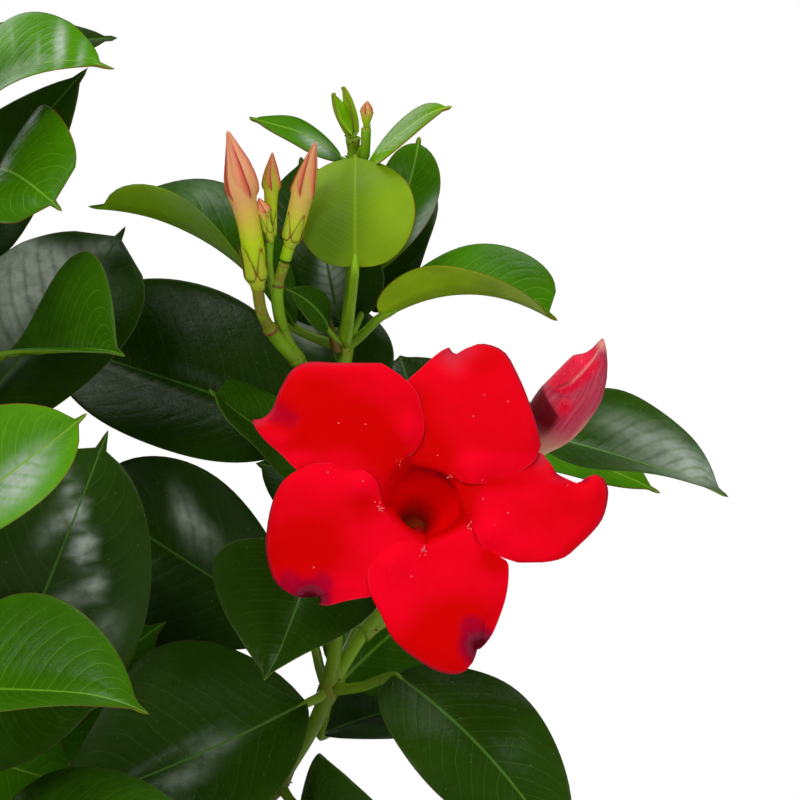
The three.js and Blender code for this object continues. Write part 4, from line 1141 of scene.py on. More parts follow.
def build_shoots(settings):
    chance = np.random.default_rng(SEEDS["shoots"])
    upper, under, green = leaf_upper(), leaf_under(), stem_green()
    for name, leaves in grow().items():
        shoot = SHOOTS[name]
        blades = Skin("tone", "seed", "blush", "half_width", "wax")
        stems = Skin("tone", "blush")
        roots = [leaf.root for leaf in leaves]
        lay_stem(stems, stem_path(shoot), *shoot.radius, (0.25, 0.8), roots)
        for side in shoot.sides:
            tones = (0.6, 0.8) if side[3] else (0.55, 0.7)
            path = np.array(side_path(side), float)
            if side[3] in BUD_FORMS:
                path[-2:, 0] += 0.8 * BUD_FORMS[side[3]][-1]
            lay_stem(stems, path, side[1], side[2], tones, [side[0][0]], JOINTS.get(side[3]))
        for leaf in leaves:
            lay_leaf(blades, leaf, leaf.name in TONES, settings, chance)
            lay_petiole(stems, leaf, 0.45 + 0.5 * TONES.get(leaf.name, 0.3))
        if name == "shoot_right":
            stems.rod(*STUB, 10, tone=0.1, blush=0.6)
        else:
            end = curve(stem_path(shoot), [0.99, 1.0])
            lay_tip(blades, end[1], unit(end[1] - end[0]), settings, chance)
        blades.done(name + "_leaves", "foliage", (upper, under), name)
        stems.done(name + "_stems", "foliage", (green,), name)


# ---- flowers ----
# Each lobe's own edges in the plane of the flower: the edge that lies over its neighbour, the
# outer edge, the edge that the other neighbour covers; then the middle of its bulge; the middle,
# size and depth of the hollow beside its pointed corner; how far its mouth edge dips and how
# softly; how light it is on the whole; patches of painted light and shade, lighter or deeper than
# the rest (x, y, two sizes, how much); and painted shade in and around its hollows (x, y, size,
# how far along purple, grey-pink, maroon) and pale patches, as the painted light and shade.
Lobe = namedtuple("Lobe", "cover outer hidden bulge hollow dip light tints marks pale")
PETALS = [
    Lobe([(-5.6, 10.2), (-1.7, 12.4), (0.3, 16.6), (0.1, 21.4), (-1.1, 25.9), (-4.3, 29.5), (-9.1, 32.9)],
         [(-9.1, 32.9), (-19.4, 33), (-26.2, 33.2), (-29.7, 31.6), (-32.6, 27.2), (-34.8, 22.1),
          (-36.8, 20.3), (-39.5, 19.8)],
         [(-10.6, -1.1), (-16.9, 2.1), (-24, 4.7), (-29.1, 7.8), (-33, 11.8), (-36.5, 15), (-38.6, 17.8),
          (-39.5, 19.8)],
         (-3.2, 17.6), (-32.6, 20.4, 3.4, 1.2), (2.6, 2.6), 0.6,
         [(-21.4, 16.9, 13, 5, -0.75), (-9.5, 12.0, 5, 5, -0.8), (-25.5, 26.2, 8, 4, -0.5),
          (-14, 21, 5, 4, -0.3), (-8.3, 28, 7, 4, 0.2), (-34, 15.5, 4, 2, 0.6), (-29, 11, 4, 2, 0.5)],
         [(-33.6, 21.4, 3.0, 0.26), (-30.4, 19.8, 2.6, 0.2)],
         [(-38.4, 19.2, 2.0, 1.0, 0.8), (-36.4, 21.4, 2.0, 1.2, 0.6), (-20, 33.0, 10, 0.8, 0.5)]),
    Lobe([(6.5, 6.6), (8.9, 4.7), (12.7, 4.3), (17.9, 5), (22.4, 7), (25.6, 9.5), (27.4, 13.1)],
         [(27.4, 13.1), (26.4, 18.2), (24.3, 25.3), (22.4, 30.1), (19.8, 35), (16.6, 36.8), (13.4, 37.1),
          (10.5, 35.7), (8.9, 34.8), (7.7, 35.1), (6.8, 36.4)],
         [(-5.6, 10.2), (-5.2, 16.3), (-4.8, 22.7), (-3.7, 27.9), (-0.1, 31.4), (3.1, 34.2), (5.5, 35.9),
          (6.8, 36.4)],
         (11.6, 8.2), (7.6, 34.2, 3.2, 1.2), (2.4, 2.4), 0.6,
         [(16, 33.6, 6, 4, -0.5), (1, 14, 4, 4, -0.6), (0.8, 22, 2, 6, -0.35), (4, 11, 5, 3, -0.4),
          (12, 9.4, 7, 2.4, 0.4), (21, 9.6, 5, 2.2, 0.35)],
         [],
         [(6.4, 35.6, 2.6, 3.2, 0.75), (9.8, 35.6, 3.2, 2.0, 0.7), (8.0, 32.2, 2.0, 2.4, 0.45)]),
    Lobe([(10.5, -5.7), (11.5, -7.2), (12.7, -9.8), (15.3, -11.9), (18.5, -13.3), (21.4, -14.2)],
         [(21.4, -14.2), (25.6, -14.1), (28.5, -14), (32.1, -13), (35.3, -10.4), (38.5, -7.5), (41.1, -4.3),
          (42.4, -0.5), (42.7, 2.8), (41.7, 5.2), (39.8, 6.2)],
         [(6.5, 6.6), (12.7, 7.3), (19.2, 9.5), (25, 11.5), (27.4, 11.3), (29.4, 7.4), (32.7, 5.3),
          (35.6, 4.2), (37.5, 5.3), (39.8, 6.2)],
         (15.2, -7.0), (35.6, 5.2, 3.2, 1.0), (2.2, 2.2), 0.66,
         [(16, 4.5, 9, 1.6, -0.45), (9.4, 1.5, 2.5, 5, -0.35), (18, -9, 6, 4, 0.25), (30, -2, 10, 3, -0.12)],
         [(31.5, 6.8, 2.0, 0.3), (37.0, 5.6, 1.8, 0.34)],
         [(27.8, 10.8, 2.2, 2.6, 0.9), (33, 5.2, 3.4, 0.8, 0.5)]),
    Lobe([(-0.5, -11.5), (-2.4, -9.7), (-5.3, -8.6), (-8.8, -9.3), (-11.7, -11.7), (-13.3, -14.6),
          (-13.7, -17.8), (-13, -21.1), (-12, -23.6)],
         [(-12, -23.6), (-10.4, -26.9), (-8.8, -30.7), (-6.6, -33.3), (-3.3, -36), (1.2, -38.8), (5, -39.9),
          (7.9, -39.4), (9.2, -37.8), (8.7, -36.2), (9.9, -34.7), (11.8, -34.3)],
         [(10.5, -5.7), (13.4, -8.8), (16.6, -12.4), (18.7, -14), (18.9, -16.9), (18.2, -21.7), (16.6, -26.5),
          (14.7, -30.7), (12.9, -33.3), (11.8, -34.3)],
         (-8, -13.4), (11.8, -33.8, 3.3, 3.2), (0.5, 0.6), 0.7,
         [(-8.5, -18, 6, 8, 0.3), (0, -33.8, 8, 6, -0.9), (7, -26, 9, 4, -0.65), (15.4, -13.5, 3.4, 3, -0.9),
          (1, -39, 6, 3, -0.5), (3, -11.5, 9, 2, -0.15)],
         [(11.6, -33.6, 3.5, 1.0), (10.0, -29.2, 3.2, 0.34)], []),
    Lobe([(-10.6, -1.1), (-10.3, 2.1), (-10.8, 4.7), (-12.7, 7.1), (-17.5, 8.7), (-22.7, 9.7), (-26.9, 9.1),
          (-29.4, 7.7)],
         [(-29.4, 7.7), (-32.3, 5.9), (-34.3, 2.8), (-35.7, -1.1), (-36.6, -5.6), (-37, -10.1),
          (-36.4, -14.3), (-35.2, -17.8), (-33, -19.9), (-30.1, -21.5), (-28.1, -21.4), (-26, -20.9),
          (-24.9, -22.2), (-25.2, -23.3)],
         [(-0.5, -11.5), (-4, -14.6), (-7.9, -17.8), (-12.7, -21.5), (-15.6, -22), (-19.4, -22.7),
          (-23.3, -23.6), (-25.2, -23.3)],
         (-14, 4.9), (-27.2, -22.4, 3.4, 3.2), (0.5, 0.6), 0.6,
         [(-26, 6, 9, 4, 0.3), (-28.6, -12, 11, 6, -0.8), (-25, -4.5, 7, 3, -0.3), (-14.5, 0.4, 3, 4, -0.6),
          (-13, -9, 6, 5, 0.3), (-16, -20, 7, 3, 0.35)],
         [(-27.2, -22.4, 3.8, 1.0), (-31.5, -18.5, 3.2, 0.34), (-24.2, -18.6, 3, 0.3)], []),
]
CORNERS = np.array([lobe.cover[0] for lobe in PETALS])  # the mouth's five corners
# the share of a lobe's rows that line the throat, the ring they run to, and the throat's lean
WALL_ROWS, WALL_RADIUS, WALL_DEPTH, MOUTH_DEPTH, THROAT_LEAN = 0.22, 7.9, 9.5, 2.2, (1.6, 1.8)


def edge(points, t):
    """Points along a lobe's edge, evenly spread over its length."""
    flat = [(x, y, 0) for x, y in points]
    dense = curve(flat, np.linspace(0, 1, 161))
    run = np.concatenate([[0], np.cumsum(np.linalg.norm(np.diff(dense, axis=0), axis=1))])
    return np.stack([np.interp(t * run[-1], run, dense[:, k]) for k in (0, 1)], -1)


def spots(flat, patches):
    """The sum of soft patches at points of the flower's plane."""
    total = np.zeros(len(flat))
    for x, y, wide, tall, amount in patches:
        total += amount * np.exp(-(((flat[:, 0] - x) / wide) ** 2) - ((flat[:, 1] - y) / tall) ** 2)
    return total


def petal_point(plan, lobe, u, v):
    """A lobe's surface: its plane place from its four edges, and its rise. Below v = 0 it goes
    on as its share of the throat's wall."""
    down, v = np.clip(-v, 0, 1), np.clip(v, 0, 1)
    s = ((u + 1) / 2)[:, None]
    w = v[:, None]
    cover, hidden = edge(lobe.cover, v), edge(lobe.hidden, v)
    outer = edge(lobe.outer, s[:, 0])
    first, last = lobe.cover[0], lobe.hidden[0]
    inner = first + np.subtract(last, first) * s
    near = (1 - w) * ((1 - s) * first + s * last)
    far = w * ((1 - s) * lobe.cover[-1] + s * lobe.hidden[-1])
    flat = (1 - s) * cover + s * hidden + (1 - w) * inner + w * outer - near - far
    turn, reach, _, _ = plan
    c, n = turned(turn)
    across = flat[:, 1] * c - flat[:, 0] * n
    out = np.linalg.norm(flat, axis=1)
    x = np.clip((out - MOUTH) / (reach - MOUTH), 0, 1.15)
    rise = 4.5 * x - 5.5 * x * x - 0.14 * across * x**0.8
    middle = 1 - u**6
    depth, soft = 1.3 + (lobe.dip[0] - 1.3) * middle, 1.4 + (lobe.dip[1] - 1.4) * middle
    rise = rise - depth * np.exp(-v * np.linalg.norm(outer - inner, axis=1) / soft)
    bulge = np.exp(-(((flat - lobe.bulge) ** 2).sum(1) / 3.9**2)) * smooth(0, 0.12, v)
    rise = rise + 1.7 * bulge
    from_hollow = np.linalg.norm(flat - lobe.hollow[:2], axis=1) / lobe.hollow[2]
    rise = rise - lobe.hollow[3] * (1 - smooth(0.25, 1.25, from_hollow)) + 0.5 * bell(from_hollow - 1.6, 0.45)
    cover_edge = smooth(0.55, 1, -u) * smooth(0.12, 0.45, v)
    hidden_edge = smooth(0.6, 1, u) * smooth(0.5, 0.8, v)
    rise = rise - 1.5 * cover_edge**2 - 0.9 * hidden_edge**2 - 1.1 * smooth(0.86, 1, v) ** 2
    rise = rise + 0.35 * np.sin(3.1 * u + 2.0 * v + turn) * smooth(0.2, 0.7, v)
    narrow = (1 - (1 - down) ** 2.2)[:, None]
    ring = flat / out[:, None] * WALL_RADIUS + THROAT_LEAN
    seen = flat - rise[:, None] * [0.1, 0.18]
    placed = seen + (ring - seen) * narrow
    return flat, np.column_stack([placed, rise - WALL_DEPTH * down**1.25])


def lay_lobe(skin, plan, lobe):
    """A lobe with its share of the throat: a closed sheet whose one edge lies over its neighbour."""

    def rows(y):
        v = np.clip((y - WALL_ROWS) / (1 - WALL_ROWS), 0, 1)
        return np.where(y < WALL_ROWS, y / WALL_ROWS - 1, 0.7 * v + 0.3 * v * v)

    def surface(u, v):
        return petal_point(plan, lobe, u, v)[1]

    def plane_place(x, y):
        return petal_point(plan, lobe, both_faces(x)[0], rows(y))[0]

    def place(x, y):
        u, rim = both_faces(x)
        v = rows(y)
        e = 0.004
        along = surface(u, np.minimum(v + e, 1)) - surface(u, np.maximum(v - e, -1))
        over = surface(np.minimum(u + e, 1), v) - surface(np.maximum(u - e, -1), v)
        normal = unit(np.cross(over, along))
        normal *= np.sign(normal[v > 0.3, 2].mean())
        end = np.minimum(1, np.minimum(y, 1 - y) / 0.02) ** 0.5
        return surface(u, v) + normal * (np.sign(rim) * np.abs(rim) ** 0.5 * PETAL_HALF * end)[:, None]

    # painted light and shade: bulge highlight, lit and shaded patches, shade by the mouth and down the wall
    def blush(x, y):
        flat = plane_place(x, y)
        light = lobe.light + spots(flat, lobe.tints) + spots(flat, [(*lobe.bulge, 3.2, 3.2, 0.5)])
        near = np.linalg.norm(flat, axis=1) - 10
        light = light - 0.35 * bell(np.clip(near, 0, 50), 2.4) * (lobe.dip[0] > 1)
        return np.clip(light, 0, 1) * np.clip(1 + rows(y) * 3, 0.1, 1)

    # painted shade: a purple band on the upper throat wall, and rings in and around the hollows
    def bruise(x, y):
        flat = plane_place(x, y)
        round_mouth = np.degrees(np.arctan2(flat[:, 1], flat[:, 0]))
        darkest = 0.4 * smooth(0.08, 0.5, -rows(y)) * bell(round_mouth - 62, 55)
        for px, py, size, much in lobe.marks:
            far = np.hypot(flat[:, 0] - px, flat[:, 1] - py) / size
            profile = np.interp(far, [0.3, 0.6, 0.78, 1.0, 1.2, 1.7], [1, 0.8, 0.62, 0.54, 0.32, 0])
            darkest = np.maximum(darkest, profile if much == 1 else much * (1 - smooth(0.5, 1.35, far)))
        return darkest

    def margin(x, y):
        u, v = both_faces(x)[0], rows(y)
        sides = smooth(0.985, 1, np.abs(u)) * smooth(0.1, 0.3, v)
        return np.clip(np.maximum(sides, smooth(0.985, 1, v)), 0, 1)

    def pale(x, y):
        return np.clip(spots(plane_place(x, y), lobe.pale), 0, 1)

    skin.patch(*CELLS["lobe"], place, upper_or_under, sheet_uv(rows), blush=blush, bruise=bruise,
               margin=margin, pale=pale)


# share of the way down the throat, or back up outside it, and the radius and the height there; the
# first rows follow the mouth's corners
THROAT = [(0.0, 9.4, -MOUTH_DEPTH), (0.08, 9.2, -4), (0.22, 8.2, -8.6), (0.28, 7.55, -10.8), (0.45, 6.6, -16),
          (0.65, 4.9, -23), (0.85, 3, -30), (1.0, 0.0, -33)]
OUTSIDE = [(0.0, 0.0, -46), (0.06, 2.4, -46), (0.1, 2.4, -45), (0.35, 3.6, -34), (0.6, 5.8, -22),
           (0.75, 8.0, -14), (0.93, 10.2, -4.5)]


def lay_tube(skin):
    """The funnel: its inside from the five-cornered mouth to the bottom, and its outside back up."""
    angles = np.degrees(np.arctan2(CORNERS[:, 1], CORNERS[:, 0]))
    order = np.argsort(angles)
    ring = np.vstack([CORNERS[order], CORNERS[order][:1]])
    ring_angle = np.append(angles[order], angles[order][0] + 360)

    def mouth_radius(angle):
        a = (angle - ring_angle[0]) % 360 + ring_angle[0]
        i = np.clip(np.searchsorted(ring_angle, a, side="right") - 1, 0, 4)
        p, q = ring[i], ring[i + 1]
        way = np.column_stack([np.cos(np.radians(a)), np.sin(np.radians(a))])
        e = q - p
        return (p[:, 0] * e[:, 1] - p[:, 1] * e[:, 0]) / (way[:, 0] * e[:, 1] - way[:, 1] * e[:, 0]) + 0.9

    def place(x, y):
        angle = 360 * x
        corner = mouth_radius(angle)
        inside, outside = np.clip(y * 2, 0, 1), np.clip(y * 2 - 1, 0, 1)
        narrow = smooth(0, 0.2, inside)
        radius_in = corner * (1 - narrow) + read(THROAT, inside) * narrow
        top = smooth(0.8, 1, outside)
        radius_out = read(OUTSIDE, outside) * (1 - top) + corner * top
        depth_out = read(OUTSIDE, outside, 2) * (1 - top) - MOUTH_DEPTH * top
        back = y > 0.5
        radius, z = np.where(back, radius_out, radius_in), np.where(back, depth_out, read(THROAT, inside, 2))
        a = np.radians(angle)
        lean = np.interp(-z, [MOUTH_DEPTH, 10.8, 16, 23, 33], [0, 1, 0.75, 0.3, 0])
        x, y = radius * np.cos(a) + THROAT_LEAN[0] * lean, radius * np.sin(a) + THROAT_LEAN[1] * lean
        return np.column_stack([x, y, z])

    # painted shade: an arc partway down the wall on one side, and the lower wall on the other side
    def bruise(x, y):
        arc = bell(360 * x - 62, 52) * smooth(0.1, 0.13, y) * (1 - smooth(0.15, 0.25, y))
        deep = 0.8 * bell(360 * x - 222, 62) * smooth(0.12, 0.2, y)
        return np.where(y < 0.5, np.maximum(arc, deep), 0)

    skin.patch(*CELLS["tube"], place, lambda x, y: 0 if y < 0.5 else 1, bruise=bruise)


def lay_style(skin):
    """What stands in the throat: the cone of anthers and the red knob on it."""
    line = [[0.4, -1.4, z] for z in (-32.5, -30, -28, -26.5, -25.6)]
    skin.rod(line, [3.0, 3.2, 2.8, 1.8, 0.5], 16)
    line = [[0.9, -2.9, z] for z in (-27, -25.6, -24.6, -23.8, -23.2, -22.9)]
    skin.rod(line, [0.8, 1.2, 1.4, 1.3, 0.8, 0.2], 14, 1)


def lay_tufts(skin, chance):
    """Small hairs at the five corners of the mouth."""
    for corner, lobe in zip(CORNERS, PETALS):
        height = -1.3 if lobe.dip[0] > 1 else 0.1
        for _ in range(8):
            start = np.array([*(corner * chance.uniform(0.95, 1.03) + chance.normal(0, 0.3, 2)), height])
            lean = np.array([*(-unit(corner) * chance.uniform(-0.4, 0.5) + chance.normal(0, 0.4, 2)), 0.9])
            tip = start + unit(lean) * chance.uniform(0.9, 1.9)
            bend = (start + tip) / 2 + chance.normal(0, 0.08, 3)
            skin.rod([start, bend, tip], [0.15, 0.13, 0.05], 4)


def moved_copy(mesh, name, flower):
    """A mesh in a flower's own frame, set in its place."""
    _, mouth, axis, roll, scale = flower
    turn = Matrix(frame_of(axis, roll).tolist()).to_4x4()
    made = mesh.copy()
    made.name = name
    made.transform(Matrix.Translation(Vector(mouth) * MM) @ turn @ Matrix.Scale(scale, 4))
    return made


def lay_sepals(skin, bottom, way, radius, length, spread, chance, start=0.0):
    """Five narrow pointed sepals that hug the foot of a tube, on the swollen end of the stalk."""
    bottom, way = np.array(bottom, float), np.array(way, float)
    base = frame_of(way, 0)
    foot = bottom + way * [[-3.0], [-1.6], [-0.6], [0.4], [1.4]]
    skin.rod(foot, radius * np.array([0.62, 0.72, 0.95, 1.08, 1.0]), 14)
    for k in range(5):
        angle = TAU * k / 5 + start
        out = base @ [math.cos(angle), math.sin(angle), 0]
        side = base @ [-math.sin(angle), math.cos(angle), 0]
        lean, long = chance.uniform(0.6, 1.4) * spread, length * chance.uniform(0.85, 1.12)
        bent = chance.uniform(-0.25, 0.25)

        def place(x, y, out=out, side=side, lean=lean, long=long, bent=bent):
            u, rim = both_faces(x)
            half = radius * np.interp(y, [0, 0.15, 0.4, 0.7, 0.9, 1], [0.3, 0.62, 0.5, 0.26, 0.12, 0])
            around = np.clip(u * half / radius, -1.2, 1.2) + bent * y**2
            belly = np.interp(y, [0, 0.12, 0.3, 1], [0.93, 1.08, 1.08, 1.02])
            thick = 0.24 * (0.5 + 0.5 * rim) * (1 - y) ** 0.5 * np.minimum(1, y / 0.1)
            reach = radius * belly + lean * y**2.4 + thick
            height = -0.7 + long * y
            return (bottom + way * height[:, None]
                    + out * (reach * np.cos(around))[:, None] + side * (reach * np.sin(around))[:, None])

        skin.patch(*CELLS["sepal"], place, 0, sheet_uv(lambda y: y))


def build_flowers(settings):
    chance = np.random.default_rng(SEEDS["flowers"])
    petals, tube, style, tufts = Skin("blush", "bruise", "margin", "pale"), Skin("bruise"), Skin(), Skin()
    for plan, lobe in zip(LOBES, PETALS):
        lay_lobe(petals, plan, lobe)
    lay_tube(tube)
    lay_style(style)
    lay_tufts(tufts, chance)
    parts = {
        "petals": (petals, "petal", (petal_front(settings), petal_back())),
        "tube": (tube, "petal", (throat_inside(), tube_outside())),
        "style": (style, "bud", (plain("anther_yellow", (0.32, 0.3, 0.02), (0.42, 0.2, 0.02), 300.0),
                                 plain("stigma_red", (0.62, 0.01, 0.012), (0.5, 0.01, 0.02), 600.0))),
        "tufts": (tufts, "petal", (plain("tuft_pink", (0.85, 0.14, 0.17), (0.88, 0.24, 0.24), 500.0, 0.7),)),
    }
    for part, (skin, slot, finishes) in parts.items():
        mesh = mesh_of(skin.bm, "own_frame")
        for flower in FLOWERS:
            moved = moved_copy(mesh, f"{flower[0]}_{part}", flower)
            add_piece(moved, slot, finishes, flower[0] if part == "petals" else None)
        bpy.data.meshes.remove(mesh)
    green = sepal_green()
    for name, _, _, _, scale in FLOWERS:
        calyx = Skin()
        lay_sepals(calyx, *seat_of(name), 2.55 * scale, 8.5, 1.1, chance)
        calyx.done(name + "_calyx", "foliage", (green,))


# ---- buds ----
# along a bud: share of its length, radius; the long bud stands on more of its stalk
SLIM = [(0, 2.0), (0.14, 2.6), (0.4, 2.75), (0.52, 3.05), (0.62, 3.8), (0.7, 3.6), (0.79, 2.8), (0.86, 1.95),
        (0.93, 1.1), (1, 0.3)]
STALKED = [(0, 1.75), (0.16, 1.8), (0.21, 2.7), (0.3, 3.1), (0.45, 3.25), (0.58, 3.4), (0.69, 3.1),
           (0.77, 2.6), (0.9, 1.35), (1, 0.3)]
STUBBY = [(0, 1.5), (0.15, 2.0), (0.35, 3.0), (0.55, 3.7), (0.75, 3.0), (0.9, 1.5), (1, 0.3)]
PROFILES = {"bud_long": STALKED, "bud_top": STUBBY}
# name: turns, folds, depth of the folds, how green, start, foot of its sepals, how far it leans
BUD_FORMS = {
    "bud_large": (1.0, 5, 0.2, 0.0, 0.62, 0.03, 1.5), "bud_long": (0.9, 5, 0.22, 0.35, 0.34, 0.2, 0.3),
    "bud_small": (1.0, 5, 0.22, 0.95, 0.1, 0.03, 0), "bud_top": (0.8, 5, 0.2, 0.45, 0.3, -0.2, 0),
    "bud_left_1": (1.2, 5, 0.2, 0.1, 0.6, 0.03, 0.5), "bud_left_2": (1.1, 5, 0.2, 0.3, 0.2, 0.03, 0.5),
    "bud_back": (1.2, 5, 0.2, 0.15, 0.4, 0.03, 0.5),
}


def bud_spine(bottom, tip, lean, y):
    """The middle of a bud at shares y of its length: its lower part stands aside."""
    aside = np.interp(y, [0, 0.2, 0.4, 0.54, 0.8, 0.93, 1], [0.8, 1.1, 1.0, 0.7, 0.62, 0.28, 0]) * lean
    return bottom + np.subtract(tip, bottom) * y[:, None] + [1, 0, 0] * aside[:, None]


def lay_bud(skin, profile, bottom, tip, girth, turns, folds, depth, greenness, seed, lean=0):
    """A slim bud: its rolled lobes overlap in folds that begin as drops and run round to the tip."""
    base = frame_of(np.subtract(tip, bottom), 0)

    def parts(x, y):
        place = np.mod(folds * x, 1)
        opened = smooth(0.55, 0.75, y)
        wide = 0.72 * np.sqrt(opened) * (1 - 0.25 * smooth(0.85, 1, y))
        return opened, place, smooth(1 - wide - 0.14, 1 - wide + 0.14, place) * (opened > 0) * (place > 0)

    def place(x, y):
        opened, place, strip = parts(x, y)
        shifts = (-0.02, 0, 0.02)
        radius = girth * sum(read(profile, np.clip(y + d, 0, 1)) for d in shifts) / 3
        radius = radius * (1 + depth * (strip * place - 0.45 * opened))
        radius = np.where((y == 0) | (y == 1), 0, radius)
        angle = TAU * (x - turns * (y - 0.6) / folds + seed)
        flat = np.stack([radius * np.cos(angle), radius * np.sin(angle), angle * 0], -1)
        return flat @ base.T + bud_spine(bottom, tip, lean, np.clip(y, 0.002, 0.998))

    def blush(x, y):
        _, place, strip = parts(x, y)
        return strip * (0.25 + 0.75 * smooth(0.5, 0.95, place)) * (1 - 0.6 * smooth(0.85, 1, y))

    def bruise(x, y):
        _, place, strip = parts(x, y)
        return strip * smooth(0.82, 0.95, place) * 0.75 * (1 - smooth(0.8, 0.97, y))

    skin.patch(*CELLS["bud"], place, blush=blush, bruise=bruise, tone=greenness)


# the furled bud's outline as it faces the viewer: share of its length, left and right edge; and
# the edge of the lobe that wraps it: share of its length, place across
FURLED_EDGES = [
    (0, -2.2, 2.2), (0.2, -2.9, 2.5), (0.4, -4.6, 1.9), (0.5, -5.6, 2.6), (0.566, -6.2, 5.2),
    (0.61, -6.5, 6.4), (0.66, -6.7, 7.1), (0.71, -6.5, 7.4), (0.764, -5.7, 7.5), (0.8, -5.2, 7.3),
    (0.842, -4.6, 6.5), (0.873, -4.1, 5.8), (0.888, -3.8, 5.3), (0.897, -2.8, 5.0), (0.919, -1.6, 4.3),
    (0.945, -0.9, 3.2), (0.97, -0.6, 2.1), (0.99, -0.3, 0.9), (1.0, 0.1, 0.3),
]
FURLED_RIM = [(0.742, -6.3), (0.751, -4.9), (0.765, -3.2), (0.796, -1.8), (0.817, -1.1), (0.857, -0.4),
              (0.902, 0.2), (0.931, 0.5), (1.0, 0.4)]
# how far across the painted shade of the side turned away reaches: share of its length, place across
FURLED_SHADE = [(0.5, -2.6), (0.55, -0.8), (0.6, 0.4), (0.65, 0.8), (0.682, 0.6), (0.698, -1.8), (0.725, -5.6),
               (0.74, -7)]


def lay_furled(skin, bottom, tip):
    """The half-open bud: one lobe wraps the others, and its edge runs down from the tip."""
    bottom, tip = np.array(bottom, float), np.array(tip, float)
    long, way = np.linalg.norm(tip - bottom), unit(tip - bottom)
    right = np.array([0.855, -0.054, -0.516])
    right = unit(right - way * (right @ way))
    front = np.cross(right, way)
    front = front * -np.sign(front[1])

    def rows(y):
        return np.where(y < 0.2, y * 2.25, 0.45 + (y - 0.2) * 0.6875)

    def edges(t):
        shifts = (-0.007, 0, 0.007)
        return [sum(read(FURLED_EDGES, t + d, k) for d in shifts) / 3 for k in (1, 2)]

    def parts(x, y):
        t = rows(y)
        left, far = edges(t)
        across = (left + far) / 2 + (far - left) / 2 * np.cos(TAU * x)
        seen = smooth(0, 0.3, np.sin(TAU * x))
        rim = across - read(FURLED_RIM, t)
        return t, across, far - across, rim, seen, seen * smooth(0.74, 0.752, t)

    def place(x, y):
        t, across, _, rim, seen, above = parts(x, y)
        left, far = edges(t)
        toward = 0.9 * (far - left) / 2 * np.sin(TAU * x)
        toward = toward + above * (0.45 * bell(np.maximum(rim, 0), 1.4) - 1.0 * smooth(0.25, -0.25, rim))
        hollow = 0.5 * seen * bell(rim - 4.6, 1.1) * smooth(0.6, 0.7, t)
        toward = toward - hollow * (1 - smooth(0.85, 0.95, t))
        end = (y > 0) & (y < 1)
        middle = bottom + way * (long * t)[:, None]
        return middle + right * (across * end)[:, None] + front * (toward * end)[:, None]

    def blush(x, y):
        t, across, _, rim, seen, above = parts(x, y)
        band = bell(rim - 1.3, 1.5) * smooth(0.745, 0.76, t) * (1 - smooth(0.9, 0.96, t))
        low = spots(np.column_stack([t * long, across]), [(46.0, 0.6, 2.6, 1.9, 1.1)])
        inner = 0.8 * smooth(0.3, -0.3, rim) * above * (1 - smooth(0.93, 0.97, t))
        return np.clip(np.maximum(np.maximum(band, low), inner), 0, 1) * seen

    # painted shade: the side turned away, a crease line under the wrapping edge, darker by the far edge
    def bruise(x, y):
        t, across, from_edge, rim, seen, above = parts(x, y)
        dark = smooth(-1.3, 1.0, read(FURLED_SHADE, t) - across) * smooth(0.52, 0.64, t)
        dark = dark * (1 - smooth(0.725, 0.75, t))
        crease = 0.8 * bell(rim + 0.15, 0.22) * above * (1 - smooth(0.8, 0.83, t))
        side = 0.3 * bell(from_edge, 0.9) * smooth(0.74, 0.8, t)
        return np.clip(np.maximum(np.maximum(dark, crease), side) * seen, 0, 1)

    def tone(x, y):
        t, _, from_edge, _, seen, _ = parts(x, y)
        low = 1 - smooth(0.5, 0.66, t)
        strip = 0.9 * bell(from_edge, 0.9) * (1 - smooth(0.68, 0.76, t))
        return np.clip(np.maximum(low, strip * seen), 0, 1)

    def margin(x, y):
        t, _, _, rim, _, above = parts(x, y)
        line = 0.6 * bell(rim - 0.15, 0.25) * above * smooth(0.79, 0.84, t)
        return np.maximum(line, 0.9 * smooth(0.95, 0.985, t))

    def spread(x, y):
        return x, rows(y)

    skin.patch(*CELLS["furled"], place, 0, spread, blush=blush, bruise=bruise, tone=tone, margin=margin)


def build_buds():
    chance = np.random.default_rng(SEEDS["buds"])
    furled, slim, green = furled_skin(), bud_skin(), sepal_green()
    for name, bottom, tip, girth in BUDS:
        body, calyx = Skin("blush", "bruise", "tone", "margin"), Skin()
        way = unit(np.subtract(tip, bottom))
        if name == "bud_furled":
            lay_furled(body, bottom, tip)
            lay_sepals(calyx, bottom, way, 2.6, 9.0, 0.6, chance, 0.7)
        else:
            *form, foot, lean = BUD_FORMS[name]
            lay_bud(body, PROFILES.get(name, SLIM), bottom, tip, girth, *form, lean)
            seat = bud_spine(bottom, tip, lean, np.array([foot]))[0]
            foot_radius = {"bud_long": 2.75, "bud_top": 1.9}.get(name, 2.5) * girth
            long = 2.6 if name == "bud_top" else 8.5 * girth**0.5
            lay_sepals(calyx, seat, way, foot_radius, long, 0.7 * girth, chance, 0.25)
        if name == "bud_small":  # with a smaller one on the same stalk
            lay_bud(body, SLIM, [64.4, -29.4, 335.6], [62.2, -30.5, 343.6], 0.45, 0.8, 5, 0.3, 0.2, 0.2)
            lay_sepals(calyx, [64.3, -29.4, 336.0], unit([-2.0, -1.1, 8]), 1.15, 5.0, 0.5, chance)
        slot, skin = ("furled_petal", furled) if name == "bud_furled" else ("bud", slim)
        body.done(name + "_body", slot, (skin,), name)
        calyx.done(name + "_calyx", "foliage", (green,))


# ---- pot and soil ----
def spun(bm, profile, steps=128):
    """Turns a profile of (radius, height) in millimetres round the upright axis."""
    verts = [bm.verts.new((r * MM, 0, z * MM)) for r, z in profile]
    edges = [bm.edges.new(pair) for pair in zip(verts, verts[1:])]
    bmesh.ops.spin(bm, geom=[*verts, *edges], cent=(0, 0, 0), axis=(0, 0, 1), angle=TAU, steps=steps,
                   use_merge=True)


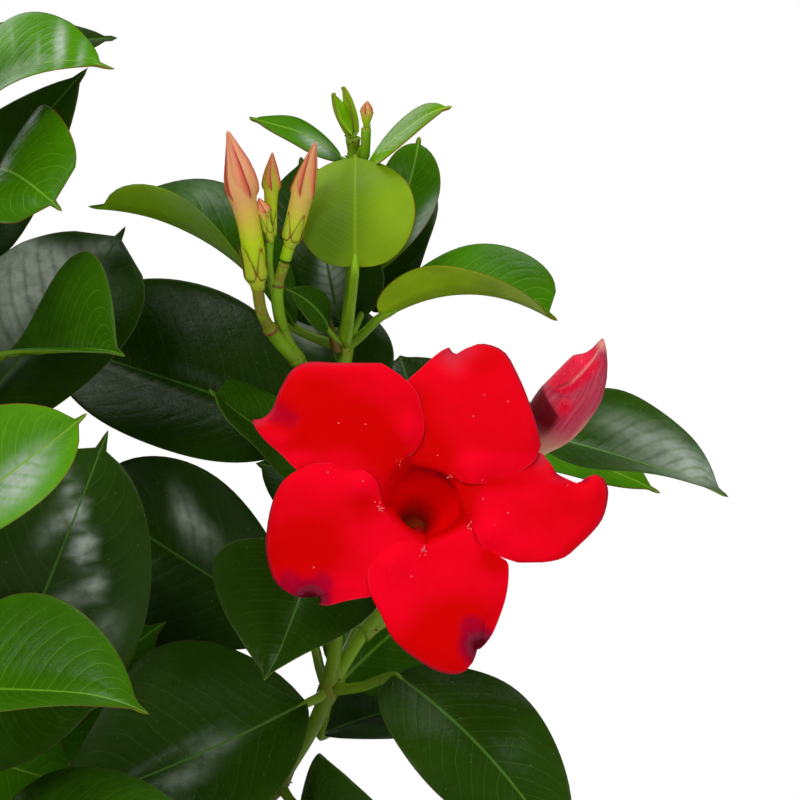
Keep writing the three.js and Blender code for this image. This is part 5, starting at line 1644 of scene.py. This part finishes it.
def pot_sizes(settings):
    """Rim, foot, height, foot of the collar, slope, and the inside radius at the rim and the floor."""
    rim, foot, height = settings.rim_radius / MM, settings.foot_radius / MM, settings.height / MM
    slope = (rim - POT_STEP - foot) / (height - POT_COLLAR)
    inner, floor = rim - POT_WALL - POT_STEP + 1, foot + slope * POT_FLOOR - POT_WALL
    return rim, foot, height, height - POT_COLLAR, slope, inner, floor


def pot_profile(settings):
    """The wall from the edge of the floor plate outwards, up, over the rim and down inside."""
    rim, foot, height, band, slope, inner, floor = pot_sizes(settings)
    wall = [(foot + slope * z, z) for z in np.linspace(2.2, band - 0.4, 14)]
    outside = [(FLOOR_PLATE, 0), (foot - 2.4, 0), (foot - 1.2, 0.25), (foot - 0.3, 0.9), *wall]
    collar = [(rim - POT_STEP + 0.3, band - 0.1), (rim - 1.6, band + 0.1), (rim - 0.6, band + 0.6),
              (rim - 0.25, band + 1.6)]
    collar += [(rim - 0.25 + 0.25 * k / 4, band + 1.6 + (POT_COLLAR - 4) * k / 4) for k in range(1, 5)]
    lip = [(rim - 0.3, height - 1.3), (rim - 1.0, height - 0.4), (rim - 2.2, height)]
    lip += [(inner + 2, height), (inner + 0.8, height - 0.4), (inner + 0.2, height - 1.4)]
    widens = (inner - floor) / (height - 1.5 - POT_FLOOR)
    inside = [(floor + widens * (z - POT_FLOOR), z) for z in np.linspace(height - 3, POT_FLOOR + 2, 12)]
    inside += [(floor - 0.8, POT_FLOOR + 0.4), (floor - 2, POT_FLOOR), (FLOOR_PLATE, POT_FLOOR)]
    return outside + collar + lip + inside


def circle(bm, radius, place, segments):
    """A circle's points, with its sizes in millimetres."""
    spot = Matrix.Translation(Vector(place) * MM)
    return bmesh.ops.create_circle(bm, segments=segments, radius=radius * MM, matrix=spot)["verts"]


def build_pot(settings):
    bm = bmesh.new()
    spun(bm, pot_profile(settings))
    drains = [Vector(turned(90 + 120 * k)) * DRAIN_RING for k in range(3)]
    for height in (0, POT_FLOOR):
        verts = circle(bm, FLOOR_PLATE, (0, 0, height), 128)
        for drain in drains:
            verts += circle(bm, DRAIN_RADIUS, (*drain, height), 24)
        edges = list({e for v in verts for e in v.link_edges})
        normal = (0, 0, 1 if height else -1)
        bmesh.ops.triangle_fill(bm, use_beauty=True, use_dissolve=False, edges=edges, normal=normal)
    bm.edges.ensure_lookup_table()
    for drain in drains:
        open_edges = [e for e in bm.edges if len(e.link_faces) == 1]
        reach = (DRAIN_RADIUS + 1) * MM
        near = [e for e in open_edges if math.dist(e.verts[0].co[:2], drain * MM) < reach]
        bmesh.ops.bridge_loops(bm, edges=near)
    bmesh.ops.remove_doubles(bm, verts=bm.verts, dist=2e-5)
    bmesh.ops.recalc_face_normals(bm, faces=bm.faces)
    for face in bm.faces:
        face.smooth = abs(face.normal.z) < 0.97
    add_piece(mesh_of(bm, "pot_clay"), "clay", (clay_body(settings),), "pot")


def soil_height(x, y):
    """The uneven top of the soil at a place, in millimetres."""
    reach = np.hypot(x, y)
    crown = SOIL_TOP + SOIL_CROWN * np.clip(1 - reach / SOIL_RADIUS, 0, 1)
    waves = np.sin(x * 0.23 + 1) * np.cos(y * 0.19) + 0.6 * np.sin(x * 0.61 + y * 0.37)
    return crown + 0.5 * (waves + 0.4 * np.cos(y * 0.9 - x * 0.5)) - 1.0


def build_soil(settings):
    chance = np.random.default_rng(SEEDS["soil"])
    _, _, height, _, _, inner, floor = pot_sizes(settings)

    def wall(z):
        return floor + (inner - floor) * (z - POT_FLOOR) / (height - 1.5 - POT_FLOOR) - 2 * SEAT

    bm = bmesh.new()
    low = POT_FLOOR + SEAT
    profile = [(0, low), (wall(low), low), (wall(60), 60), (wall(SOIL_TOP - 2), SOIL_TOP - 2)]
    profile += [(r, SOIL_TOP) for r in np.linspace(wall(SOIL_TOP) - 1, 0, 34)]
    spun(bm, profile, 144)
    for v in bm.verts:
        if v.co.z > (SOIL_TOP - 1) * MM:
            x, y = v.co.x / MM, v.co.y / MM
            v.co.z = (soil_height(x, y) + chance.normal(0, 0.45)) * MM
    bmesh.ops.remove_doubles(bm, verts=bm.verts, dist=1e-6)
    bmesh.ops.recalc_face_normals(bm, faces=bm.faces)
    for face in bm.faces:
        face.smooth = True
    compost = plain("compost", (0.018, 0.011, 0.007), (0.055, 0.033, 0.02), 160.0, 0.9, 0.9, 0.2)
    add_piece(mesh_of(bm, "soil_compost"), "soil", (compost,), "soil")
    perlite = plain("perlite", (0.62, 0.6, 0.56), (0.8, 0.78, 0.74), 900.0, 0.85)
    bark = plain("bark", (0.07, 0.03, 0.015), (0.16, 0.075, 0.035), 500.0, 0.8, 0.8)
    kinds = {  # how many, least and greatest size, finish
        "soil_clods": (420, (0.9, 2.6), compost),
        "soil_perlite": (70, (0.8, 1.7), perlite),
        "soil_bark": (90, (1.6, 4.2), bark),
    }
    for name, (count, sizes, look) in kinds.items():
        bm = bmesh.new()
        for _ in range(count):
            reach, angle = (SOIL_RADIUS - 1) * math.sqrt(chance.random()), chance.uniform(0, TAU)
            x, y = reach * math.cos(angle), reach * math.sin(angle)
            size = chance.uniform(*sizes)
            flat = 0.35 if name == "soil_bark" else chance.uniform(0.6, 0.95)
            verts = bmesh.ops.create_icosphere(bm, subdivisions=1, radius=0.5)["verts"]
            turn = Matrix.Rotation(chance.uniform(0, TAU), 3, chance.normal(0, 1, 3))
            broad = 0.6 if name == "soil_bark" else chance.uniform(0.7, 1)
            for v in verts:
                rough = Vector(v.co) * chance.uniform(0.78, 1.2)
                spot = turn @ (Vector((rough.x, rough.y * broad, rough.z * flat)) * size)
                v.co = Vector((x, y, float(soil_height(x, y)) + 0.25 * size)) * MM + spot * MM
        for face in bm.faces:
            face.smooth = name != "soil_bark"
        add_piece(mesh_of(bm, name), "soil", (look,))


# ---- stage ----
SKY, AIM, DISTANCE, TILT, LENS = (0.93, 0.96, 1.0, 1), (0.095, 0, 0.293), 1.6, 6, 302.4
LAMPS = {  # place, aim, size, share of the power
    "key": ((-0.55, -1.5, 1.35), (0.03, 0, 0.24), 0.6, 1.0),
    "fill": ((1.35, -1.1, 0.7), (0.05, 0, 0.25), 0.5, 0.4),
    "top": ((0.25, 0.15, 1.75), (0.03, 0, 0.25), 0.7, 0.7),
    "left": ((-1.3, -0.9, 0.9), (0.03, 0, 0.26), 0.5, 0.4),
    "back": ((-0.7, 1.5, 1.1), (0, 0, 0.25), 0.9, 0.3),
}


def aimed(made, place, way):
    """Puts a lamp or the camera in its place, looking a given way."""
    bpy.context.scene.collection.objects.link(made)
    made.location = place
    made.rotation_mode = "QUATERNION"
    made.rotation_quaternion = way.to_track_quat("-Z", "Y")


def build_stage(settings):
    scene = bpy.context.scene
    scene.view_settings.view_transform = "Standard"
    scene.view_settings.look = "None"
    bm = bmesh.new()
    bmesh.ops.create_circle(bm, cap_ends=True, segments=96, radius=settings.floor_radius)
    floor = add_object(mesh_of(bm, "floor"))

    def build(tree):
        far = node(tree, "VectorMath", {0: coordinates(tree)}, operation="LENGTH").outputs["Value"]
        return {"Alpha": step(far, 0.5 * settings.floor_radius, 0.72 * settings.floor_radius, 1.0, 0.0)}

    colour = (*settings.floor_colour, 1)
    floor.data.materials.append(material("floor_white", build, base_color=colour, roughness=0.8))

    world = bpy.data.worlds.new("studio")
    scene.world = world
    world.use_nodes = True
    tree = world.node_tree
    tree.nodes["Background"].inputs["Color"].default_value = SKY
    tree.nodes["Background"].inputs["Strength"].default_value = settings.sky_strength
    lit = tree.nodes["Background"].outputs[0]
    mirrored = node(tree, "Background", {"Color": SKY, "Strength": settings.sky_mirrored}).outputs[0]
    seen = node(tree, "Background", {"Color": (1, 1, 1, 1), "Strength": 1.0}).outputs[0]
    rays = node(tree, "LightPath").outputs
    blend = node(tree, "MixShader", {0: rays["Is Glossy Ray"], 1: lit, 2: mirrored}).outputs[0]
    blend = node(tree, "MixShader", {0: rays["Is Camera Ray"], 1: blend, 2: seen}).outputs[0]
    tree.links.new(blend, tree.nodes["World Output"].inputs["Surface"])

    for name, (place, aim, size, share) in LAMPS.items():
        light = bpy.data.lights.new(name, "AREA")
        light.size = size
        light.energy = settings.lamp_power * share
        lamp = bpy.data.objects.new(name, light)
        lamp.visible_camera = False
        aimed(lamp, place, Vector(aim) - Vector(place))

    camera = bpy.data.objects.new("camera", bpy.data.cameras.new("camera"))
    way = Vector((0, *turned(-TILT)))
    aimed(camera, Vector(AIM) - way * DISTANCE, way)
    camera.data.sensor_width = 36
    camera.data.lens = LENS
    camera.data.clip_start, camera.data.clip_end = 0.05, 20
    scene.camera = camera


# ---- add-on ----
def amount(name, description, default, **others):
    return bpy.props.FloatProperty(name=name, description=description, default=default, min=0, **others)


def length(name, description, default, top=1.0):
    return amount(name, description, default, max=top, unit="LENGTH", subtype="DISTANCE")


def paint(name, description, default):
    limits = {"min": 0, "max": 1, "size": 3, "subtype": "COLOR"}
    return bpy.props.FloatVectorProperty(name=name, description=description, default=default, **limits)


class PotSettings(bpy.types.PropertyGroup):
    height: length("Height", "Height of the pot", POT_HEIGHT * MM)
    rim_radius: length("Rim radius", "Outer radius of the rim", POT_RIM * MM)
    foot_radius: length("Foot radius", "Outer radius of the underside", POT_FOOT * MM)
    clay_colour: paint("Clay", "Colour of the fired clay", (0.5, 0.19, 0.085))


class FoliageSettings(bpy.types.PropertyGroup):
    blade_thickness: length("Blade", "Thickness of a leaf blade", 0.0006)
    pucker: length("Pucker", "Rise of the blade between two side veins", 0.0001)


class FlowerSettings(bpy.types.PropertyGroup):
    petal_colour: paint("Petal", "Deep red of the open petals", (0.58, 0.0, 0.0))
    petal_blush: paint("Blush", "Lighter red of the open petals", (0.78, 0.0, 0.012))


class StageSettings(bpy.types.PropertyGroup):
    floor_radius: length("Floor radius", "Radius of the floor", 1.5, 5.0)
    floor_colour: paint("Floor", "Colour of the floor", (0.88, 0.88, 0.88))
    lamp_power: amount("Lamp power", "Power of the key lamp", 15, unit="POWER")
    sky_strength: amount("Sky", "Strength of the light from all round", 0.42)
    sky_mirrored: amount("Mirrored sky", "Strength of the sky in glossy leaves", 0.03)


class OBJECT_OT_mandevilla_pot(bpy.types.Operator):
    """Builds the clay pot with its collar and drain holes"""
    bl_idname = "mandevilla.pot"
    bl_label = "Clay pot"

    def execute(self, context):
        build_pot(context.scene.mandevilla_pot)
        return {"FINISHED"}


class OBJECT_OT_mandevilla_soil(bpy.types.Operator):
    """Builds the compost with its clods, perlite and bark"""
    bl_idname = "mandevilla.soil"
    bl_label = "Soil"

    def execute(self, context):
        build_soil(context.scene.mandevilla_pot)
        return {"FINISHED"}


class OBJECT_OT_mandevilla_shoots(bpy.types.Operator):
    """Builds the stems, leaf stalks and leaves of every shoot"""
    bl_idname = "mandevilla.shoots"
    bl_label = "Shoots and leaves"

    def execute(self, context):
        build_shoots(context.scene.mandevilla_foliage)
        return {"FINISHED"}


class OBJECT_OT_mandevilla_flowers(bpy.types.Operator):
    """Builds the open flowers: lobes, tube, style, tufts and calyx"""
    bl_idname = "mandevilla.flowers"
    bl_label = "Flowers"

    def execute(self, context):
        build_flowers(context.scene.mandevilla_flower)
        return {"FINISHED"}


class OBJECT_OT_mandevilla_buds(bpy.types.Operator):
    """Builds the furled bud and the slim buds with their calyxes"""
    bl_idname = "mandevilla.buds"
    bl_label = "Buds"

    def execute(self, context):
        build_buds()
        return {"FINISHED"}


class OBJECT_OT_mandevilla_stage(bpy.types.Operator):
    """Sets the floor, the lamps and the camera"""
    bl_idname = "mandevilla.stage"
    bl_label = "Stage"

    def execute(self, context):
        build_stage(context.scene.mandevilla_stage)
        return {"FINISHED"}


OPERATORS = (
    OBJECT_OT_mandevilla_pot, OBJECT_OT_mandevilla_soil, OBJECT_OT_mandevilla_shoots,
    OBJECT_OT_mandevilla_flowers, OBJECT_OT_mandevilla_buds, OBJECT_OT_mandevilla_stage,
)
SETTINGS = {"mandevilla_pot": PotSettings, "mandevilla_foliage": FoliageSettings,
            "mandevilla_flower": FlowerSettings, "mandevilla_stage": StageSettings}


class VIEW3D_PT_mandevilla(bpy.types.Panel):
    """The plant's settings and the buttons that build its pieces"""
    bl_idname = "VIEW3D_PT_mandevilla"
    bl_label = "Mandevilla"
    bl_space_type = "VIEW_3D"
    bl_region_type = "UI"
    bl_category = "Mandevilla"

    def draw(self, context):
        for key, kind in SETTINGS.items():
            box = self.layout.box()
            for name in kind.__annotations__:
                box.prop(getattr(context.scene, key), name)
        for operator in OPERATORS:
            self.layout.operator(operator.bl_idname)


def register():
    for key, kind in SETTINGS.items():
        bpy.utils.register_class(kind)
        setattr(bpy.types.Scene, key, bpy.props.PointerProperty(type=kind))
    for kind in (*OPERATORS, VIEW3D_PT_mandevilla):
        bpy.utils.register_class(kind)


def unregister():
    for kind in (VIEW3D_PT_mandevilla, *reversed(OPERATORS)):
        bpy.utils.unregister_class(kind)
    for key, kind in reversed(SETTINGS.items()):
        delattr(bpy.types.Scene, key)
        bpy.utils.unregister_class(kind)


def main():
    register()
    for operator in OPERATORS:
        getattr(bpy.ops.mandevilla, operator.bl_idname.split(".")[1])()


if __name__ == "__main__":
    main()
